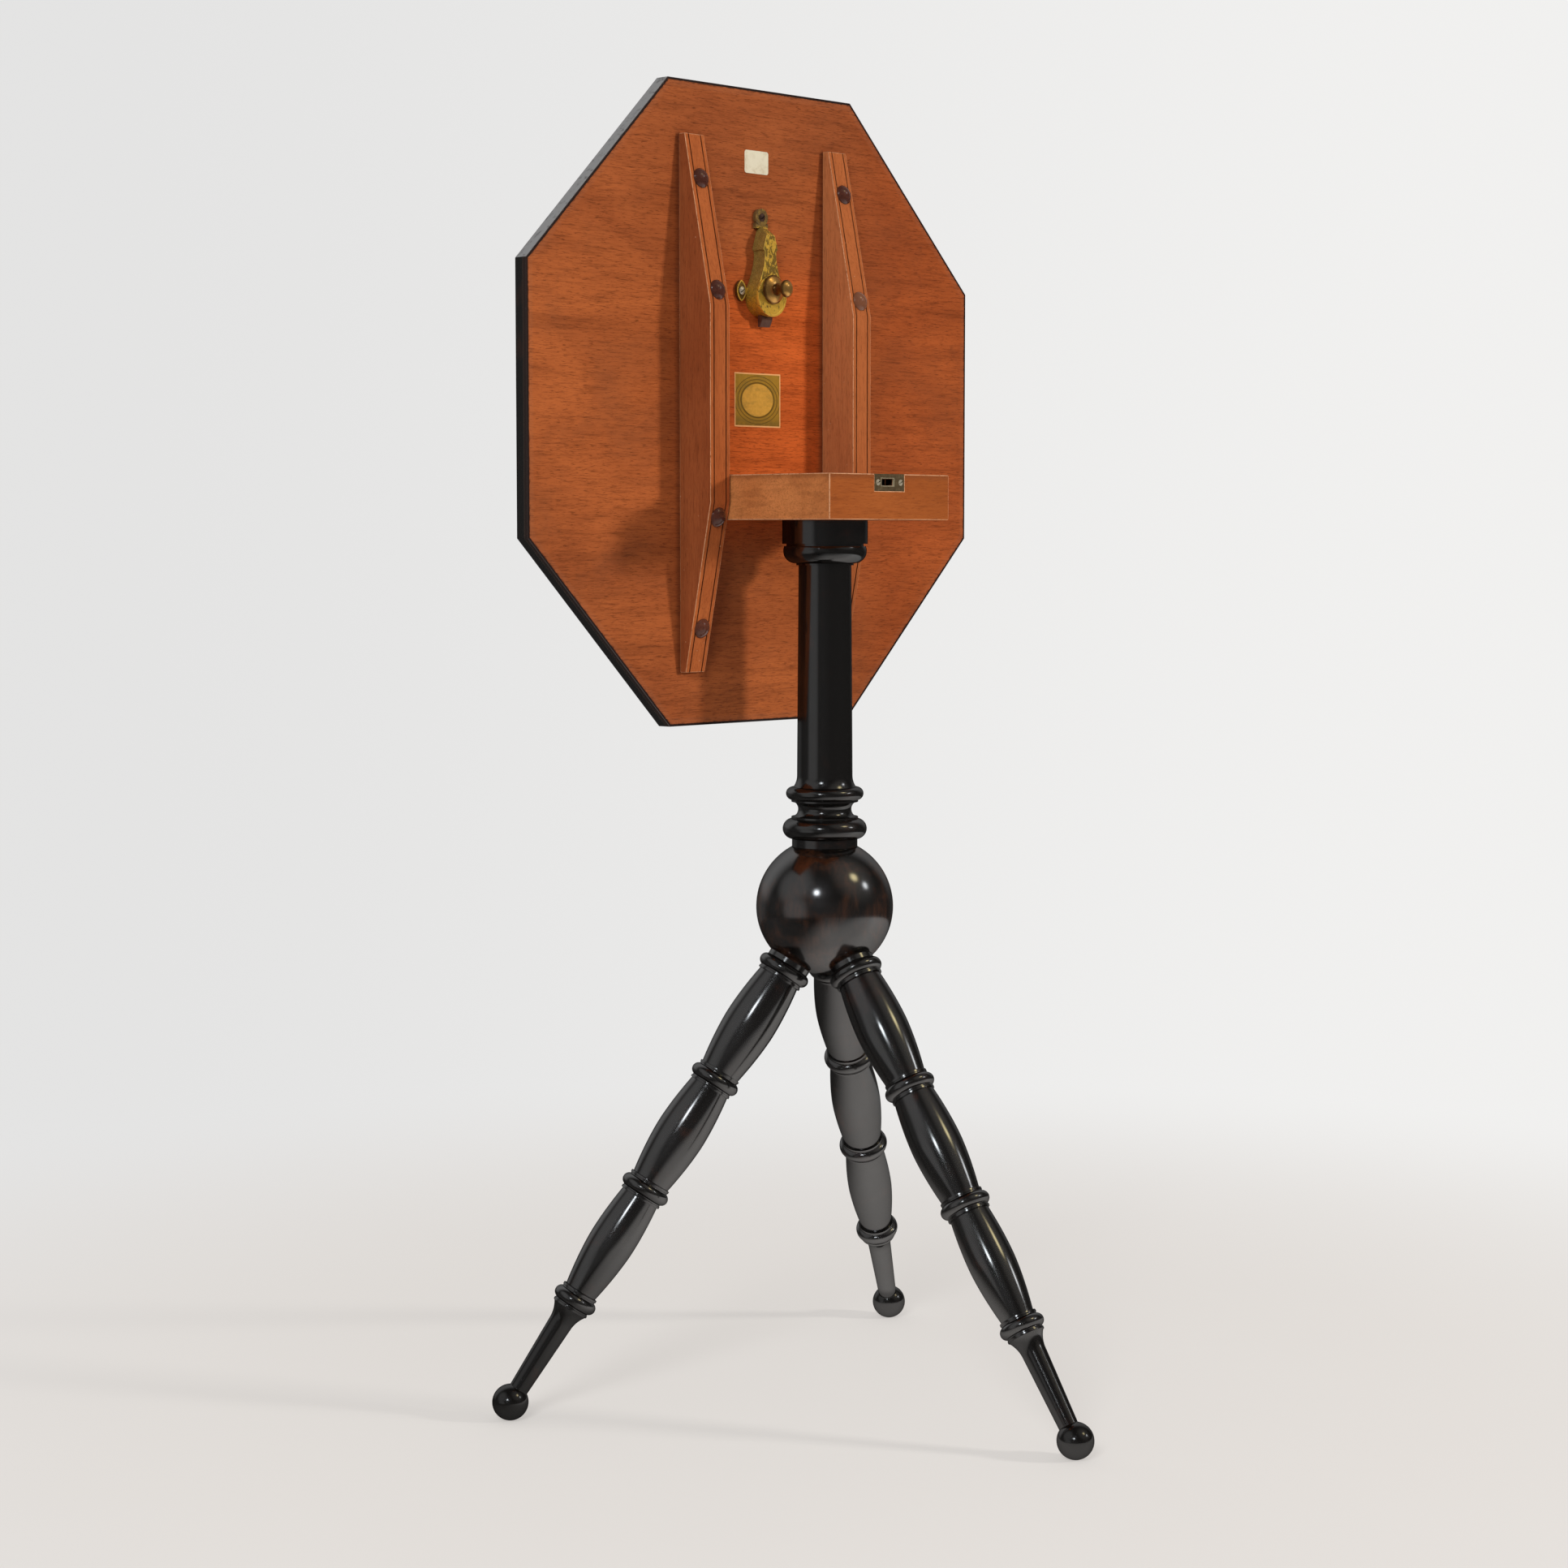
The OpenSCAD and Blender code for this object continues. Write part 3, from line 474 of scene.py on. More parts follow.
def use_group(tree, group, inputs):
    return add(tree, "ShaderNodeGroup", inputs, node_tree=group).outputs


GRAIN_ALONG_Z = (0, math.radians(90), 0)


def wood(name, turn_by, shift, light, mid, dark, streaks=1.0, mottle=1.0, gloss=0.12):
    material, tree, shader = new_material(name)
    vector = scaled(object_place(tree), (1, 1, 1), turn_by, shift)
    figure = use_group(tree, MAHOGANY, {"Vector": vector, "Light": light, "Mid": mid, "Dark": dark,
        "Streaks": streaks, "Mottle": mottle})
    feed(shader, "Base Color", figure["Color"])
    feed(shader, "Roughness", figure["Roughness"])
    shader.inputs["Specular IOR Level"].default_value = gloss
    bump(tree, shader, figure["Height"], 0.08, 0.35)
    return material, tree, shader, figure


def board_underside():
    """Underside of the top: stain bled over the edge, brighter where the bearers kept it from the light."""
    material, tree, shader, figure = wood("board_mahogany_oiled", (0, 0, 0), (0.31, 0, 0.12),
        rgb(0.475, 0.123, 0.033), rgb(0.38, 0.095, 0.026), rgb(0.095, 0.021, 0.007))
    split = xyz(object_place(tree))
    across = size(split[0])
    up = minus(split[2], TOP_Z * MM)
    height = size(up)
    slant = times(plus(across, height), math.sqrt(0.5))
    out = most(most(across, height), slant)
    wobble = noise(object_place(tree), 210.0, 4, 0.7)
    bleed = plus(out, times(wobble, 0.0042))
    stain = step(bleed, 0.2426, 0.2446)
    pale = times(step(bleed, 0.2385, 0.2405), minus(1.0, stain))
    inside = times(step(across, 0.070, 0.060), step(split[2], 0.905, 0.835))
    inside = times(inside, step(split[2], 0.64, 0.70))
    colour = mix(times(inside, 0.75), figure["Color"], rgb(1.62, 1.16, 0.77), "MULTIPLY")
    # Painted shade, with some grime, in the corners where each bearer's flanks meet the board.
    grime_and_shade_in = times(step(across, 0.0635, 0.0688), step(across, 0.0700, 0.0690))
    grime_and_shade_out = times(step(across, 0.0962, 0.0900), step(across, 0.0880, 0.0892))
    along = step(height, 0.206, 0.202)
    grime_and_shade = times(most(grime_and_shade_in, grime_and_shade_out), along)
    colour = mix(times(grime_and_shade, 0.55), colour, rgb(0.09, 0.024, 0.010))
    cloud = step(noise(scaled(object_place(tree), (9, 13, 13)), 1.0, 6, 0.66, 0.8), 0.46, 0.70)
    cloud = times(cloud, minus(1.0, inside))
    colour = mix(times(cloud, 0.34), colour, rgb(0.205, 0.064, 0.026))
    reddish = step(split[0], 0.08, 0.16)
    colour = mix(times(reddish, 0.8), colour, rgb(0.89, 0.73, 0.60), "MULTIPLY")
    low_left = times(step(up, -0.02, -0.14), step(split[0], 0.02, -0.08))
    shade = most(step(up, 0.03, 0.22), times(low_left, 0.75))
    colour = mix(times(shade, 0.9), colour, rgb(0.80, 0.80, 0.86), "MULTIPLY")
    colour = mix(times(pale, 0.10), colour, rgb(0.36, 0.15, 0.08))
    colour = mix(times(stain, 0.80), colour, rgb(0.016, 0.010, 0.008))
    feed(shader, "Base Color", colour)
    return material


def bearer_wood(name, shift, light, mid, dark, flank_light_shade):
    """A bearer's wood, with painted light and shade on its flanks, tinted apart from its face, and a few pale
    dents.
    """
    material, tree, shader, figure = wood(name, GRAIN_ALONG_Z, shift, light, mid, dark, 0.9, 0.8)
    place_now = object_place(tree)
    facing = xyz(object_place(tree, "Normal"))
    # Painted light and shade on the flanks: the right bearer's are tinted lighter, the left bearer's darker.
    side = step(size(facing[0]), 0.6, 0.9)
    colour = mix(side, figure["Color"], flank_light_shade, "MULTIPLY")
    split = xyz(place_now)
    # Painted shade in the two grooves along the face.
    from_middle = minus(size(split[0]), (BEARER_X + BEARER_W / 2) * MM)
    from_groove = minus(size(from_middle), (BEARER_W / 2 - GROOVE_IN - GROOVE_W / 2) * MM)
    groove = step(size(from_groove), 0.65 * GROOVE_W * MM, 0.45 * GROOVE_W * MM)
    colour = mix(times(groove, 0.85), colour, rgb(0.050, 0.015, 0.007))
    specks = add(tree, "ShaderNodeTexVoronoi", {"Vector": place_now, "Scale": 130.0}).outputs["Distance"]
    rare = step(noise(place_now, 60.0, 2), 0.52, 0.60)
    dent = times(step(specks, 0.10, 0.05), rare)
    colour = mix(times(dent, 0.7), colour, rgb(0.52, 0.26, 0.14))
    feed(shader, "Base Color", colour)
    return material


def arris_wear_and_highlight(name, turn_by, light, mid):
    """Edges paler where hands have taken the colour off, and a painted highlight along each arris."""
    material, tree, shader, figure = wood(name, turn_by, (0.02, 0.3, 0.1), light, mid,
        rgb(0.22, 0.065, 0.026), 0.8, 0.6)
    chips = step(noise(object_place(tree), 330.0, 4, 0.7), 0.30, 0.50)
    colour = mix(chips, rgb(0.30, 0.10, 0.042), figure["Color"])
    feed(shader, "Base Color", colour)
    return material


def block_wood():
    material, tree, shader, figure = wood("block_mahogany_oiled", (0, 0, 0), (0.55, 0.2, 0.31),
        rgb(0.41, 0.112, 0.025), rgb(0.335, 0.085, 0.018), rgb(0.19, 0.046, 0.012), 0.9, 0.8)
    facing = xyz(object_place(tree, "Normal"))
    # End faces lighter and yellower: end grain, with painted light on them.
    end_grain_and_light = step(size(facing[0]), 0.6, 0.9)
    split = xyz(object_place(tree))
    ragged = times(noise(object_place(tree), 90.0, 4), 0.004)
    high = step(plus(split[2], ragged), 0.7105, 0.7155)
    colour = mix(end_grain_and_light, figure["Color"], rgb(1.60, 2.16, 3.05), "MULTIPLY")
    pores = step(noise(scaled(object_place(tree), (500, 420, 900)), 1.0, 4, 0.7), 0.52, 0.66)
    bands = step(noise(scaled(object_place(tree), (8, 30, 170)), 1.0, 4, 0.6, 0.5), 0.46, 0.62)
    rough = times(end_grain_and_light, plus(times(pores, 0.35), times(bands, 0.25)))
    colour = mix(rough, colour, rgb(0.20, 0.062, 0.022))
    colour = mix(times(high, 0.45), colour, rgb(0.16, 0.05, 0.02))
    # Painted shade inside the mortise behind the strike's slot.
    deep = minus(split[1], (COLUMN_Y - BLOCK_L / 2 + STRIKE_T) * MM)
    near_slot = step(size(minus(split[0], CATCH_X * MM)), 0.0085, 0.0080)
    dark = times(times(step(deep, 0.0001, 0.0006), step(deep, 0.0085, 0.0080)),
        times(near_slot, step(split[2], BLOCK_LOW * MM + 0.015, BLOCK_LOW * MM + 0.020)))
    dark = times(dark, step(split[2], BLOCK_TOP * MM - 0.0015, BLOCK_TOP * MM - 0.0025))
    colour = mix(dark, colour, rgb(0.010, 0.005, 0.003))
    feed(shader, "Base Color", colour)
    return material


def ebony(name, wear, turned, shift, rubbed=(0.026, 0.009, 0.005), gloss=1.0, dull_below=0.0):
    """Black polish, duller towards its edges and, on a leg, below a height."""
    material, tree, shader = new_material(name)
    if turned:
        vector = add(tree, "ShaderNodeAttribute", attribute_name="turned").outputs["Vector"]
    else:
        vector = object_place(tree)
    vector = scaled(vector, (1, 1, 1), (0, 0, 0), shift)
    polish = use_group(tree, EBONISED, {"Vector": vector, "Wear": wear, "Rubbed": rgb(*rubbed)})
    feed(shader, "Base Color", polish["Color"])
    feed(shader, "Roughness", polish["Roughness"])
    shader.inputs["Specular IOR Level"].default_value = 0.0
    shader.inputs["Coat IOR"].default_value = 2.15
    shader.inputs["Coat Roughness"].default_value = 0.15
    turned_away = add(tree, "ShaderNodeLayerWeight", {"Blend": 0.5}).outputs["Facing"]
    cover = step(turned_away, 1.0, 0.10, 0.06, gloss)
    height = xyz(object_place(tree))[2]
    cover = times(cover, step(height, dull_below - 0.004, dull_below + 0.003, 0.55, 1.0))
    streaky = minus(1.15, polish["Roughness"])
    feed(shader, "Coat Weight", times(cover, streaky))
    bump(tree, shader, polish["Height"], 0.004, 0.15)
    return material, tree, shader, polish


def stained_button():
    """Reddish-brown polished wood, darker in soft streaks."""
    material, tree, shader, figure = wood("button_wood_polished", (0, 0, 0), (0.3, 0.4, 0.6),
        rgb(0.120, 0.038, 0.022), rgb(0.068, 0.020, 0.013), rgb(0.026, 0.008, 0.006), 0.8, 1.0, 0.5)
    shine = times(noise(object_place(tree), 300.0, 3), 0.14)
    feed(shader, "Roughness", plus(shine, 0.10))
    split = xyz(object_place(tree))
    faded = times(step(split[0], 0.0, 0.02), times(step(split[2], 0.80, 0.82), step(split[2], 0.90, 0.88)))
    colour = mix(times(faded, 0.6), figure["Color"], rgb(0.25, 0.098, 0.048))
    feed(shader, "Base Color", colour)
    return material


def edge_ebony():
    """Edge of the top, with the fine joint line round it and, where it faces up, pale grey dust and a painted
    reflection.
    """
    material, tree, shader, polish = ebony("edge_ebony_polish", 0.35, False, (0, 0, 0))
    split = xyz(object_place(tree))
    joint = (UNDER_Y + 3.6) * MM
    off = size(minus(split[1], joint))
    line = step(off, 0.00045, 0.00012)
    brown = step(split[1], joint, joint - 0.0012)
    colour = mix(times(brown, 0.5), polish["Color"], rgb(0.030, 0.010, 0.006))
    colour = mix(times(line, 0.6), colour, rgb(0.075, 0.045, 0.032))
    # Where the edge faces up: grey dust with a painted reflection.
    upward = xyz(object_place(tree, "Normal"))[2]
    dust_and_sheen = times(step(upward, 0.58, 0.69), step(noise(object_place(tree), 160.0, 4), 0.2, 0.5))
    colour = mix(times(dust_and_sheen, 0.85), colour, rgb(0.27, 0.265, 0.265))
    feed(shader, "Base Color", colour)
    return material


def show_ebony():
    """Show face of the top: the same polish, with long soft smears from wiping."""
    material, tree, shader, polish = ebony("show_ebony_polish", 0.3, False, (0.7, 0.0, 0.2), gloss=0.6)
    along = scaled(object_place(tree), (6, 1, 40), (0, math.radians(24), 0))
    smears = times(noise(along, 1.0, 5, 0.6, 0.9), noise(object_place(tree), 5.0, 2))
    cover = shader.inputs["Coat Weight"].links[0].from_socket
    cover = times(cover, step(smears, 0.12, 0.38, 1.0, 0.80))
    feed(shader, "Coat Weight", cover)
    return material


def metal(name, bright, dull, stipple, tarnish, depth, metallic=1.0):
    material, tree, shader = new_material(name)
    cast = use_group(tree, TARNISH, {"Vector": object_place(tree), "Bright": bright, "Dull": dull,
        "Stipple": stipple, "Tarnish": tarnish})
    feed(shader, "Base Color", cast["Color"])
    feed(shader, "Roughness", cast["Roughness"])
    shader.inputs["Metallic"].default_value = metallic
    bump(tree, shader, cast["Height"], depth, 0.5)
    return material, tree, shader, cast


def case_brass():
    """The catch's case: olive tarnish on its sides and its top, bright yellow on its faces, and on its edges
    wear and a painted highlight.
    """
    material, tree, shader, cast = metal("case_brass_cast", rgb(1.0, 0.60, 0.075), rgb(0.56, 0.31, 0.042),
        1500.0, 0.05, 0.1, 0.4)
    place_now = object_place(tree)
    split = xyz(place_now)
    facing = xyz(object_place(tree, "Normal"))
    depth = minus(UNDER_Y * MM, split[1])
    high = step(split[2], 0.846, 0.872)
    relief = noise(scaled(place_now, (330, 330, 190)), 1.0, 3, 0.6, 0.6)
    hollows = step(plus(relief, times(high, 0.10)), 0.56, 0.63)
    colour = mix(times(hollows, 0.85), cast["Color"], rgb(0.150, 0.092, 0.022))
    ragged = times(relief, 0.004)
    wall = times(step(facing[1], -0.62, -0.35), step(plus(depth, ragged), 0.0155, 0.0136))
    # Painted highlight and wear: the eased edges between face and side bright yellow.
    worn = times(step(facing[1], -0.97, -0.85), step(facing[1], -0.35, -0.50))
    worn = times(worn, step(split[2], DRUM_Z * MM + 0.0475, DRUM_Z * MM + 0.0455))
    colour = mix(times(worn, 0.8), colour, rgb(1.0, 0.68, 0.13))
    olive = mix(high, rgb(0.62, 0.345, 0.030), rgb(0.37, 0.265, 0.068))
    mottle = step(noise(place_now, 330.0, 5, 0.7), 0.36, 0.62)
    olive = mix(times(mottle, 0.6), olive, rgb(0.19, 0.130, 0.036))
    colour = mix(times(wall, 0.95), colour, olive)
    lug = step(split[2], 0.9045, 0.9075)
    colour = mix(times(lug, 0.75), colour, rgb(0.16, 0.094, 0.042))
    sunk = times(step(depth, 0.00285, 0.0026), step(size(minus(split[0], CATCH_X * MM)), 0.0180, 0.0184))
    colour = mix(times(sunk, 0.85), colour, rgb(0.085, 0.046, 0.016))
    flat = minus(1.0, wall)
    height = minus(cast["Height"], times(hollows, times(flat, 2.0)))
    bump(tree, shader, height, 0.12, 0.5)
    feed(shader, "Base Color", colour)
    return material


def strike_brass():
    material, tree, shader, cast = metal("strike_brass_worn", rgb(0.27, 0.19, 0.095), rgb(0.10, 0.068, 0.034),
        500.0, 0.55, 0.05, 0.5)
    split = xyz(object_place(tree))
    across = size(minus(split[0], CATCH_X * MM))
    slot_mid = (BLOCK_TOP - SLOT_DOWN - SLOT_H / 2) * MM
    down = size(minus(split[2], slot_mid))
    away = most(minus(across, SLOT_W / 2 * MM), minus(down, SLOT_H / 2 * MM))
    lip = step(plus(away, times(noise(object_place(tree), 700.0, 3), 0.0012)), 0.0014, 0.0005)
    colour = mix(times(lip, 0.8), cast["Color"], rgb(0.80, 0.70, 0.46))
    feed(shader, "Base Color", colour)
    return material


def worn_screw():
    """Screws rubbed bright, but for the dark one at the top of the catch."""
    material, tree, shader, cast = metal("screw_brass_worn", rgb(0.88, 0.80, 0.62), rgb(0.50, 0.40, 0.25),
        5000.0, 0.1, 0.005, 0.6)
    split = xyz(object_place(tree))
    outward = size(xyz(object_place(tree, "Normal"))[1])
    # Painted shade in the slots: their floors and walls darkened.
    deep = minus(UNDER_Y * MM, split[1])
    floor = times(step(deep, 0.0042, 0.0039), step(outward, 0.95, 0.98))
    slot = most(floor, step(outward, 0.30, 0.15))
    colour = mix(step(split[2], 0.88, 0.90), cast["Color"], rgb(0.085, 0.045, 0.036))
    colour = mix(times(slot, 0.9), colour, rgb(0.035, 0.020, 0.012))
    feed(shader, "Base Color", colour)
    return material


def knob_bronze():
    """Lacquered bronze, worn bright, with painted shade at its rims and in its neck."""
    material, tree, shader, cast = metal("knob_bronze_lacquer", rgb(0.86, 0.48, 0.13), rgb(0.52, 0.26, 0.070),
        7000.0, 0.0, 0.002, 0.85)
    split = xyz(object_place(tree))
    from_axis = flat_length(minus(split[0], CATCH_X * MM), minus(split[2], (DRUM_Z + KNOB_UP) * MM))
    end = step(split[1], (UNDER_Y - DRUM_H - 13.2) * MM, (UNDER_Y - DRUM_H - 14.0) * MM)
    # Painted shade: dark at the flange's rim, the end's rim and in the neck.
    rim = most(step(from_axis, 0.0093, 0.0107), times(end, step(from_axis, 0.0050, 0.0062)))
    neck = times(step(from_axis, 0.0056, 0.0044), minus(1.0, end))
    dark = times(most(rim, neck), 0.85)
    colour = mix(dark, cast["Color"], rgb(0.11, 0.045, 0.014))
    feed(shader, "Base Color", colour)
    feed(shader, "Roughness", times(cast["Roughness"], 0.8))
    return material


def paper_sheet():
    material, tree, shader = new_material("label_paper_aged")
    place_now = object_place(tree)
    fibres = noise(scaled(place_now, (900, 900, 2600)), 1.0, 4, 0.6)
    stains = step(noise(place_now, 110.0, 5, 0.65), 0.45, 0.75)
    colour = mix(stains, rgb(0.78, 0.71, 0.54), rgb(0.60, 0.50, 0.33))
    colour = mix(times(fibres, 0.25), colour, rgb(0.50, 0.42, 0.28))
    feed(shader, "Base Color", colour)
    shader.inputs["Roughness"].default_value = 0.8
    bump(tree, shader, fibres, 0.03, 0.4)
    return material


def gilt_sheet():
    """A dull gilt label, blank but for a plain rule round it and a plain round field."""
    material, tree, shader = new_material("label_gilt_blank")
    place_now = object_place(tree)
    split = xyz(place_now)
    across = minus(split[0], GILT_X * MM)
    up = minus(split[2], GILT_Z * MM)
    to_edge = least(minus(GILT_W / 2 * MM, size(across)), minus(GILT_H / 2 * MM, size(up)))
    oval = flat_length(over(across, DISC_HALF_W * MM), over(up, DISC_HALF_H * MM))
    mottled = noise(place_now, 420.0, 4, 0.65)
    worn = step(noise(scaled(place_now, (90, 90, 200)), 1.0, 5, 0.65), 0.45, 0.70)
    ground = mix(mottled, rgb(0.26, 0.130, 0.014), rgb(0.47, 0.255, 0.030))
    disc = step(oval, 1.02, 0.97)
    gold = mix(mottled, rgb(0.52, 0.25, 0.030), rgb(0.78, 0.41, 0.070))
    colour = mix(disc, ground, gold)
    for at, wide in ((1.06, 0.06), (1.26, 0.035), (1.46, 0.03)):
        rule = step(size(minus(oval, at)), wide, wide * 0.4)
        colour = mix(times(rule, 0.85), colour, rgb(0.10, 0.050, 0.008))
    colour = mix(times(worn, 0.35), colour, rgb(0.17, 0.115, 0.030))
    foot = times(step(up, -0.010, -0.020), step(mottled, 0.25, 0.6))
    colour = mix(times(foot, 0.55), colour, rgb(0.085, 0.052, 0.016))
    rim = step(to_edge, 0.0013, 0.0008)
    colour = mix(times(rim, 0.95), colour, rgb(0.88, 0.44, 0.17))
    feed(shader, "Base Color", colour)
    feed(shader, "Roughness", plus(times(mottled, 0.3), 0.42))
    shader.inputs["Specular IOR Level"].default_value = 0.3
    bump(tree, shader, mottled, 0.03, 0.3)
    return material


board_look = board_underside()
bearer_looks = {
    # The last colour of each is painted on its flanks: painted shade on the left bearer, painted light on the
    # right.
    -1: bearer_wood("bearer_left_oiled", (0.07, 0.13, 0.41), rgb(0.475, 0.128, 0.035),
        rgb(0.395, 0.098, 0.026), rgb(0.19, 0.045, 0.013), rgb(0.73, 0.75, 0.90)),
    1: bearer_wood("bearer_right_oiled", (0.23, 0.51, 0.17), rgb(0.45, 0.125, 0.036),
        rgb(0.38, 0.100, 0.028), rgb(0.20, 0.050, 0.015), rgb(1.20, 1.50, 1.90)),
}
block_look = block_wood()
# Paler arrises: wear and a painted highlight along the eased edges.
bearer_arris_lit_wear = arris_wear_and_highlight("bearer_arris_wear_and_highlight", GRAIN_ALONG_Z, rgb(0.68, 0.35, 0.19), rgb(0.54, 0.24, 0.11))
block_arris_lit_wear = arris_wear_and_highlight("block_arris_wear_and_highlight", (0, 0, 0), rgb(0.80, 0.44, 0.25), rgb(0.60, 0.27, 0.12))
column_look = ebony("column_ebony_polish", 0.25, True, (0.2, 0.1, 0.0), gloss=0.75)[0]
ball_look = ebony("ball_ebony_polish", 0.75, True, (0.5, 0.1, 0.3), (0.040, 0.015, 0.007))[0]
leg_looks = [ebony("leg_ebony_polish_%d" % (i + 1), 0.22, True, (0.1 + 0.3 * i, 0.2, 0.0),
    dull_below=below)[0] for i, below in enumerate((0.084, 0.084, 0.026))]
edge_look = edge_ebony()
show_look = show_ebony()
button_look = stained_button()
case_look = case_brass()
strike_look = strike_brass()
screw_look = worn_screw()
knob_look = knob_bronze()
iron_look = metal("iron_dark", rgb(0.19, 0.090, 0.058), rgb(0.070, 0.028, 0.017), 3000.0, 0.5, 0.02, 0.35)[0]
paper_look = paper_sheet()
gilt_look = gilt_sheet()


def finish_piece(piece, body, slot, nodes, *looks):
    if not piece.data.materials:
        for look in looks:
            piece.data.materials.append(look)
    for node in nodes:
        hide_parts(node)
    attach(piece, body)


# Pedestal

def column_half():
    """Half outline of the column: neck, two rings about a waist, cove, shaft, quarter round and cap."""
    cap_r, recess_r, band_r, waist_end_r, cove_r = 32.75, 29.55, 25.7, 24.0, 24.05
    ovolo_r, ovolo_rise, fillet_r, fillet_h = 9.5, 3.7, 22.0, 1.4
    cap = COLUMN_H - 18
    recess = cap - 1.7
    ovolo = recess - ovolo_rise
    fillet = ovolo - ovolo_r - fillet_h
    half = [(0, 0), (NECK_R, 0)]
    half += [(NECK_R, 6.06)] + ring(13.85, 32.4, 15.7, NECK_R, band_r)
    half += [(band_r, 23.1), (waist_end_r, 23.1)] + hollow(23.1, 34.6, waist_end_r, 20.5, 20)[1:]
    half += [(band_r, 34.6)] + ring(40.95, 29.85, 9.9, band_r, cove_r)
    half += cove(45.95, 54.9, cove_r, 21.35, 14)
    half += [(20.2, fillet), (fillet_r, fillet), (fillet_r, fillet + fillet_h)]
    half += arc(22.5, ovolo, ovolo_r, -90, math.degrees(math.asin(ovolo_rise / ovolo_r)), 22)
    half += [(recess_r, recess), (recess_r, cap), (cap_r, cap), (cap_r, COLUMN_H), (0, COLUMN_H)]
    return half


def leg_half():
    """Half outline of a leg: four rings with barrels between them, an ankle and a ball foot."""
    seat_r, seat_deep, ankle_r = 17.4, 6, 7.45
    seat_s = math.sqrt(BALL_R ** 2 - seat_r ** 2)
    collar_s = seat_s + 8.7
    pitch = (LEG_LEN - ANKLE_LEN - collar_s) / 3
    mids = [collar_s + pitch * i for i in range(4)]
    ring_r = (21.1, 19.9, 19.6, 17.4)
    belly_r = (20.3, 19.6, 17.8)
    end_r = (16.7, 15.95, 15.3, 12.8)
    ring_half, gap, fillet = 5, 0.8, 1.8
    clear = ring_half + gap
    reach = clear + fillet
    half = [(0, seat_s - seat_deep), (seat_r, seat_s - seat_deep)]
    for i, (mid, r) in enumerate(zip(mids, ring_r)):
        gap_r, fillet_r = r - 3.4, r - 2.9
        if i > 0:
            half += [(fillet_r, mid - reach), (fillet_r, mid - clear), (gap_r, mid - clear)]
        half += ring(mid, r, 2.0 * ring_half, gap_r if i else seat_r, gap_r)
        half += [(gap_r, mid + clear), (fillet_r, mid + clear), (fillet_r, mid + reach)]
        if i < 3:
            half += barrel(mid + reach, mids[i + 1] - reach, end_r[i], belly_r[i], end_r[i + 1], 36)
    ankle_s = mids[3] + reach
    half += cove(ankle_s, ankle_s + 14, 13.85, 9.3, 14)
    half += arc(0, LEG_LEN, FOOT_R, -math.degrees(math.acos(ankle_r / FOOT_R)), 90, 30)
    return half


def leg(name, heading, look, node):
    splay = math.asin(LEG_REACH / LEG_LEN)
    piece = copy_of(turned_leg, name)
    place(piece, moved(0, COLUMN_Y, BALL_Z) @ rotated(math.radians(heading), "Z") @ rotated(math.pi - splay,
        "Y"))
    pick(piece)
    edit_mode()
    select_all()
    bpy.ops.mesh.bisect(plane_co=(0, 0, 0), plane_no=(0, 0, 1), use_fill=True, clear_inner=True,
        threshold=CUT)
    object_mode()
    finish_piece(piece, "pedestal", "leg_ebony", [node], look)


def block():
    """The block: a cube brought to size, rounded about the pivot and eased, with its strike let in."""
    pick_nothing()
    bpy.ops.mesh.primitive_cube_add(size=MM)
    piece = started("block_piece")
    edit_mode()
    bpy.ops.transform.resize(value=(BLOCK_W, BLOCK_L, BLOCK_TOP - BLOCK_LOW))
    bpy.ops.transform.translate(value=mm(0, COLUMN_Y, (BLOCK_LOW + BLOCK_TOP) / 2))
    back = COLUMN_Y + BLOCK_L / 2
    select_edges(piece, lambda a, b: min(a.y, b.y) > back - 1 and min(a.z, b.z) > BLOCK_TOP - 1)
    bpy.ops.mesh.bevel(offset=PIVOT_IN * MM, segments=10)
    object_mode()
    front = COLUMN_Y - BLOCK_L / 2
    recess = (CATCH_X + STRIKE_SHIFT, front, BLOCK_TOP - STRIKE_H / 2 + 1, STRIKE_W, 2 * STRIKE_T,
        STRIKE_H + 2)
    mortise = (CATCH_X, front, BLOCK_TOP - SLOT_DOWN - SLOT_H / 2, SLOT_W + 0.6, 18, SLOT_H + 0.6)
    for x, y, z, wide, deep, tall in (recess, mortise):
        pick_nothing()
        bpy.ops.mesh.primitive_cube_add(size=MM, location=mm(x, y, z))
        cutter = bpy.context.object
        edit_mode()
        bpy.ops.transform.resize(value=(wide, deep, tall))
        object_mode()
        cut_out(piece, cutter)
    for look in (block_look, block_arris_lit_wear):
        piece.data.materials.append(look)
    ease_edges(piece, 0.7, 40, 2, 1)
    smooth(piece, 35)
    finish_piece(piece, "pedestal", "block_mahogany", ["pivot_block"])


turned_column = turn("column_turning", column_half(), 96, 0.22)
place(turned_column, moved(0, COLUMN_Y, SEAT_Z))
finish_piece(turned_column, "pedestal", "column_ebony", ["column"], column_look)

flat_z = SEAT_Z - BALL_Z
ball_half = [(0, flat_z), (NECK_R, flat_z)]
ball_half += arc(0, 0, BALL_R, math.degrees(math.asin(flat_z / BALL_R)), -90, 60)[1:]
turned_ball = turn("ball_turning", ball_half, 120, 0)
place(turned_ball, moved(0, COLUMN_Y, BALL_Z))
finish_piece(turned_ball, "pedestal", "ball_ebony", ["ball"], ball_look)

turned_leg = turn("leg_turning", leg_half(), 72, 0.2)
for leg_name, heading, look, node in (("leg_turning_front", 270, leg_looks[0], "leg_front"),
                                      ("leg_turning_left", 150, leg_looks[1], "leg_left"),
                                      ("leg_turning_right", 30, leg_looks[2], "leg_right")):
    leg(leg_name, heading, look, node)
bpy.data.objects.remove(turned_leg)

block()


# Top

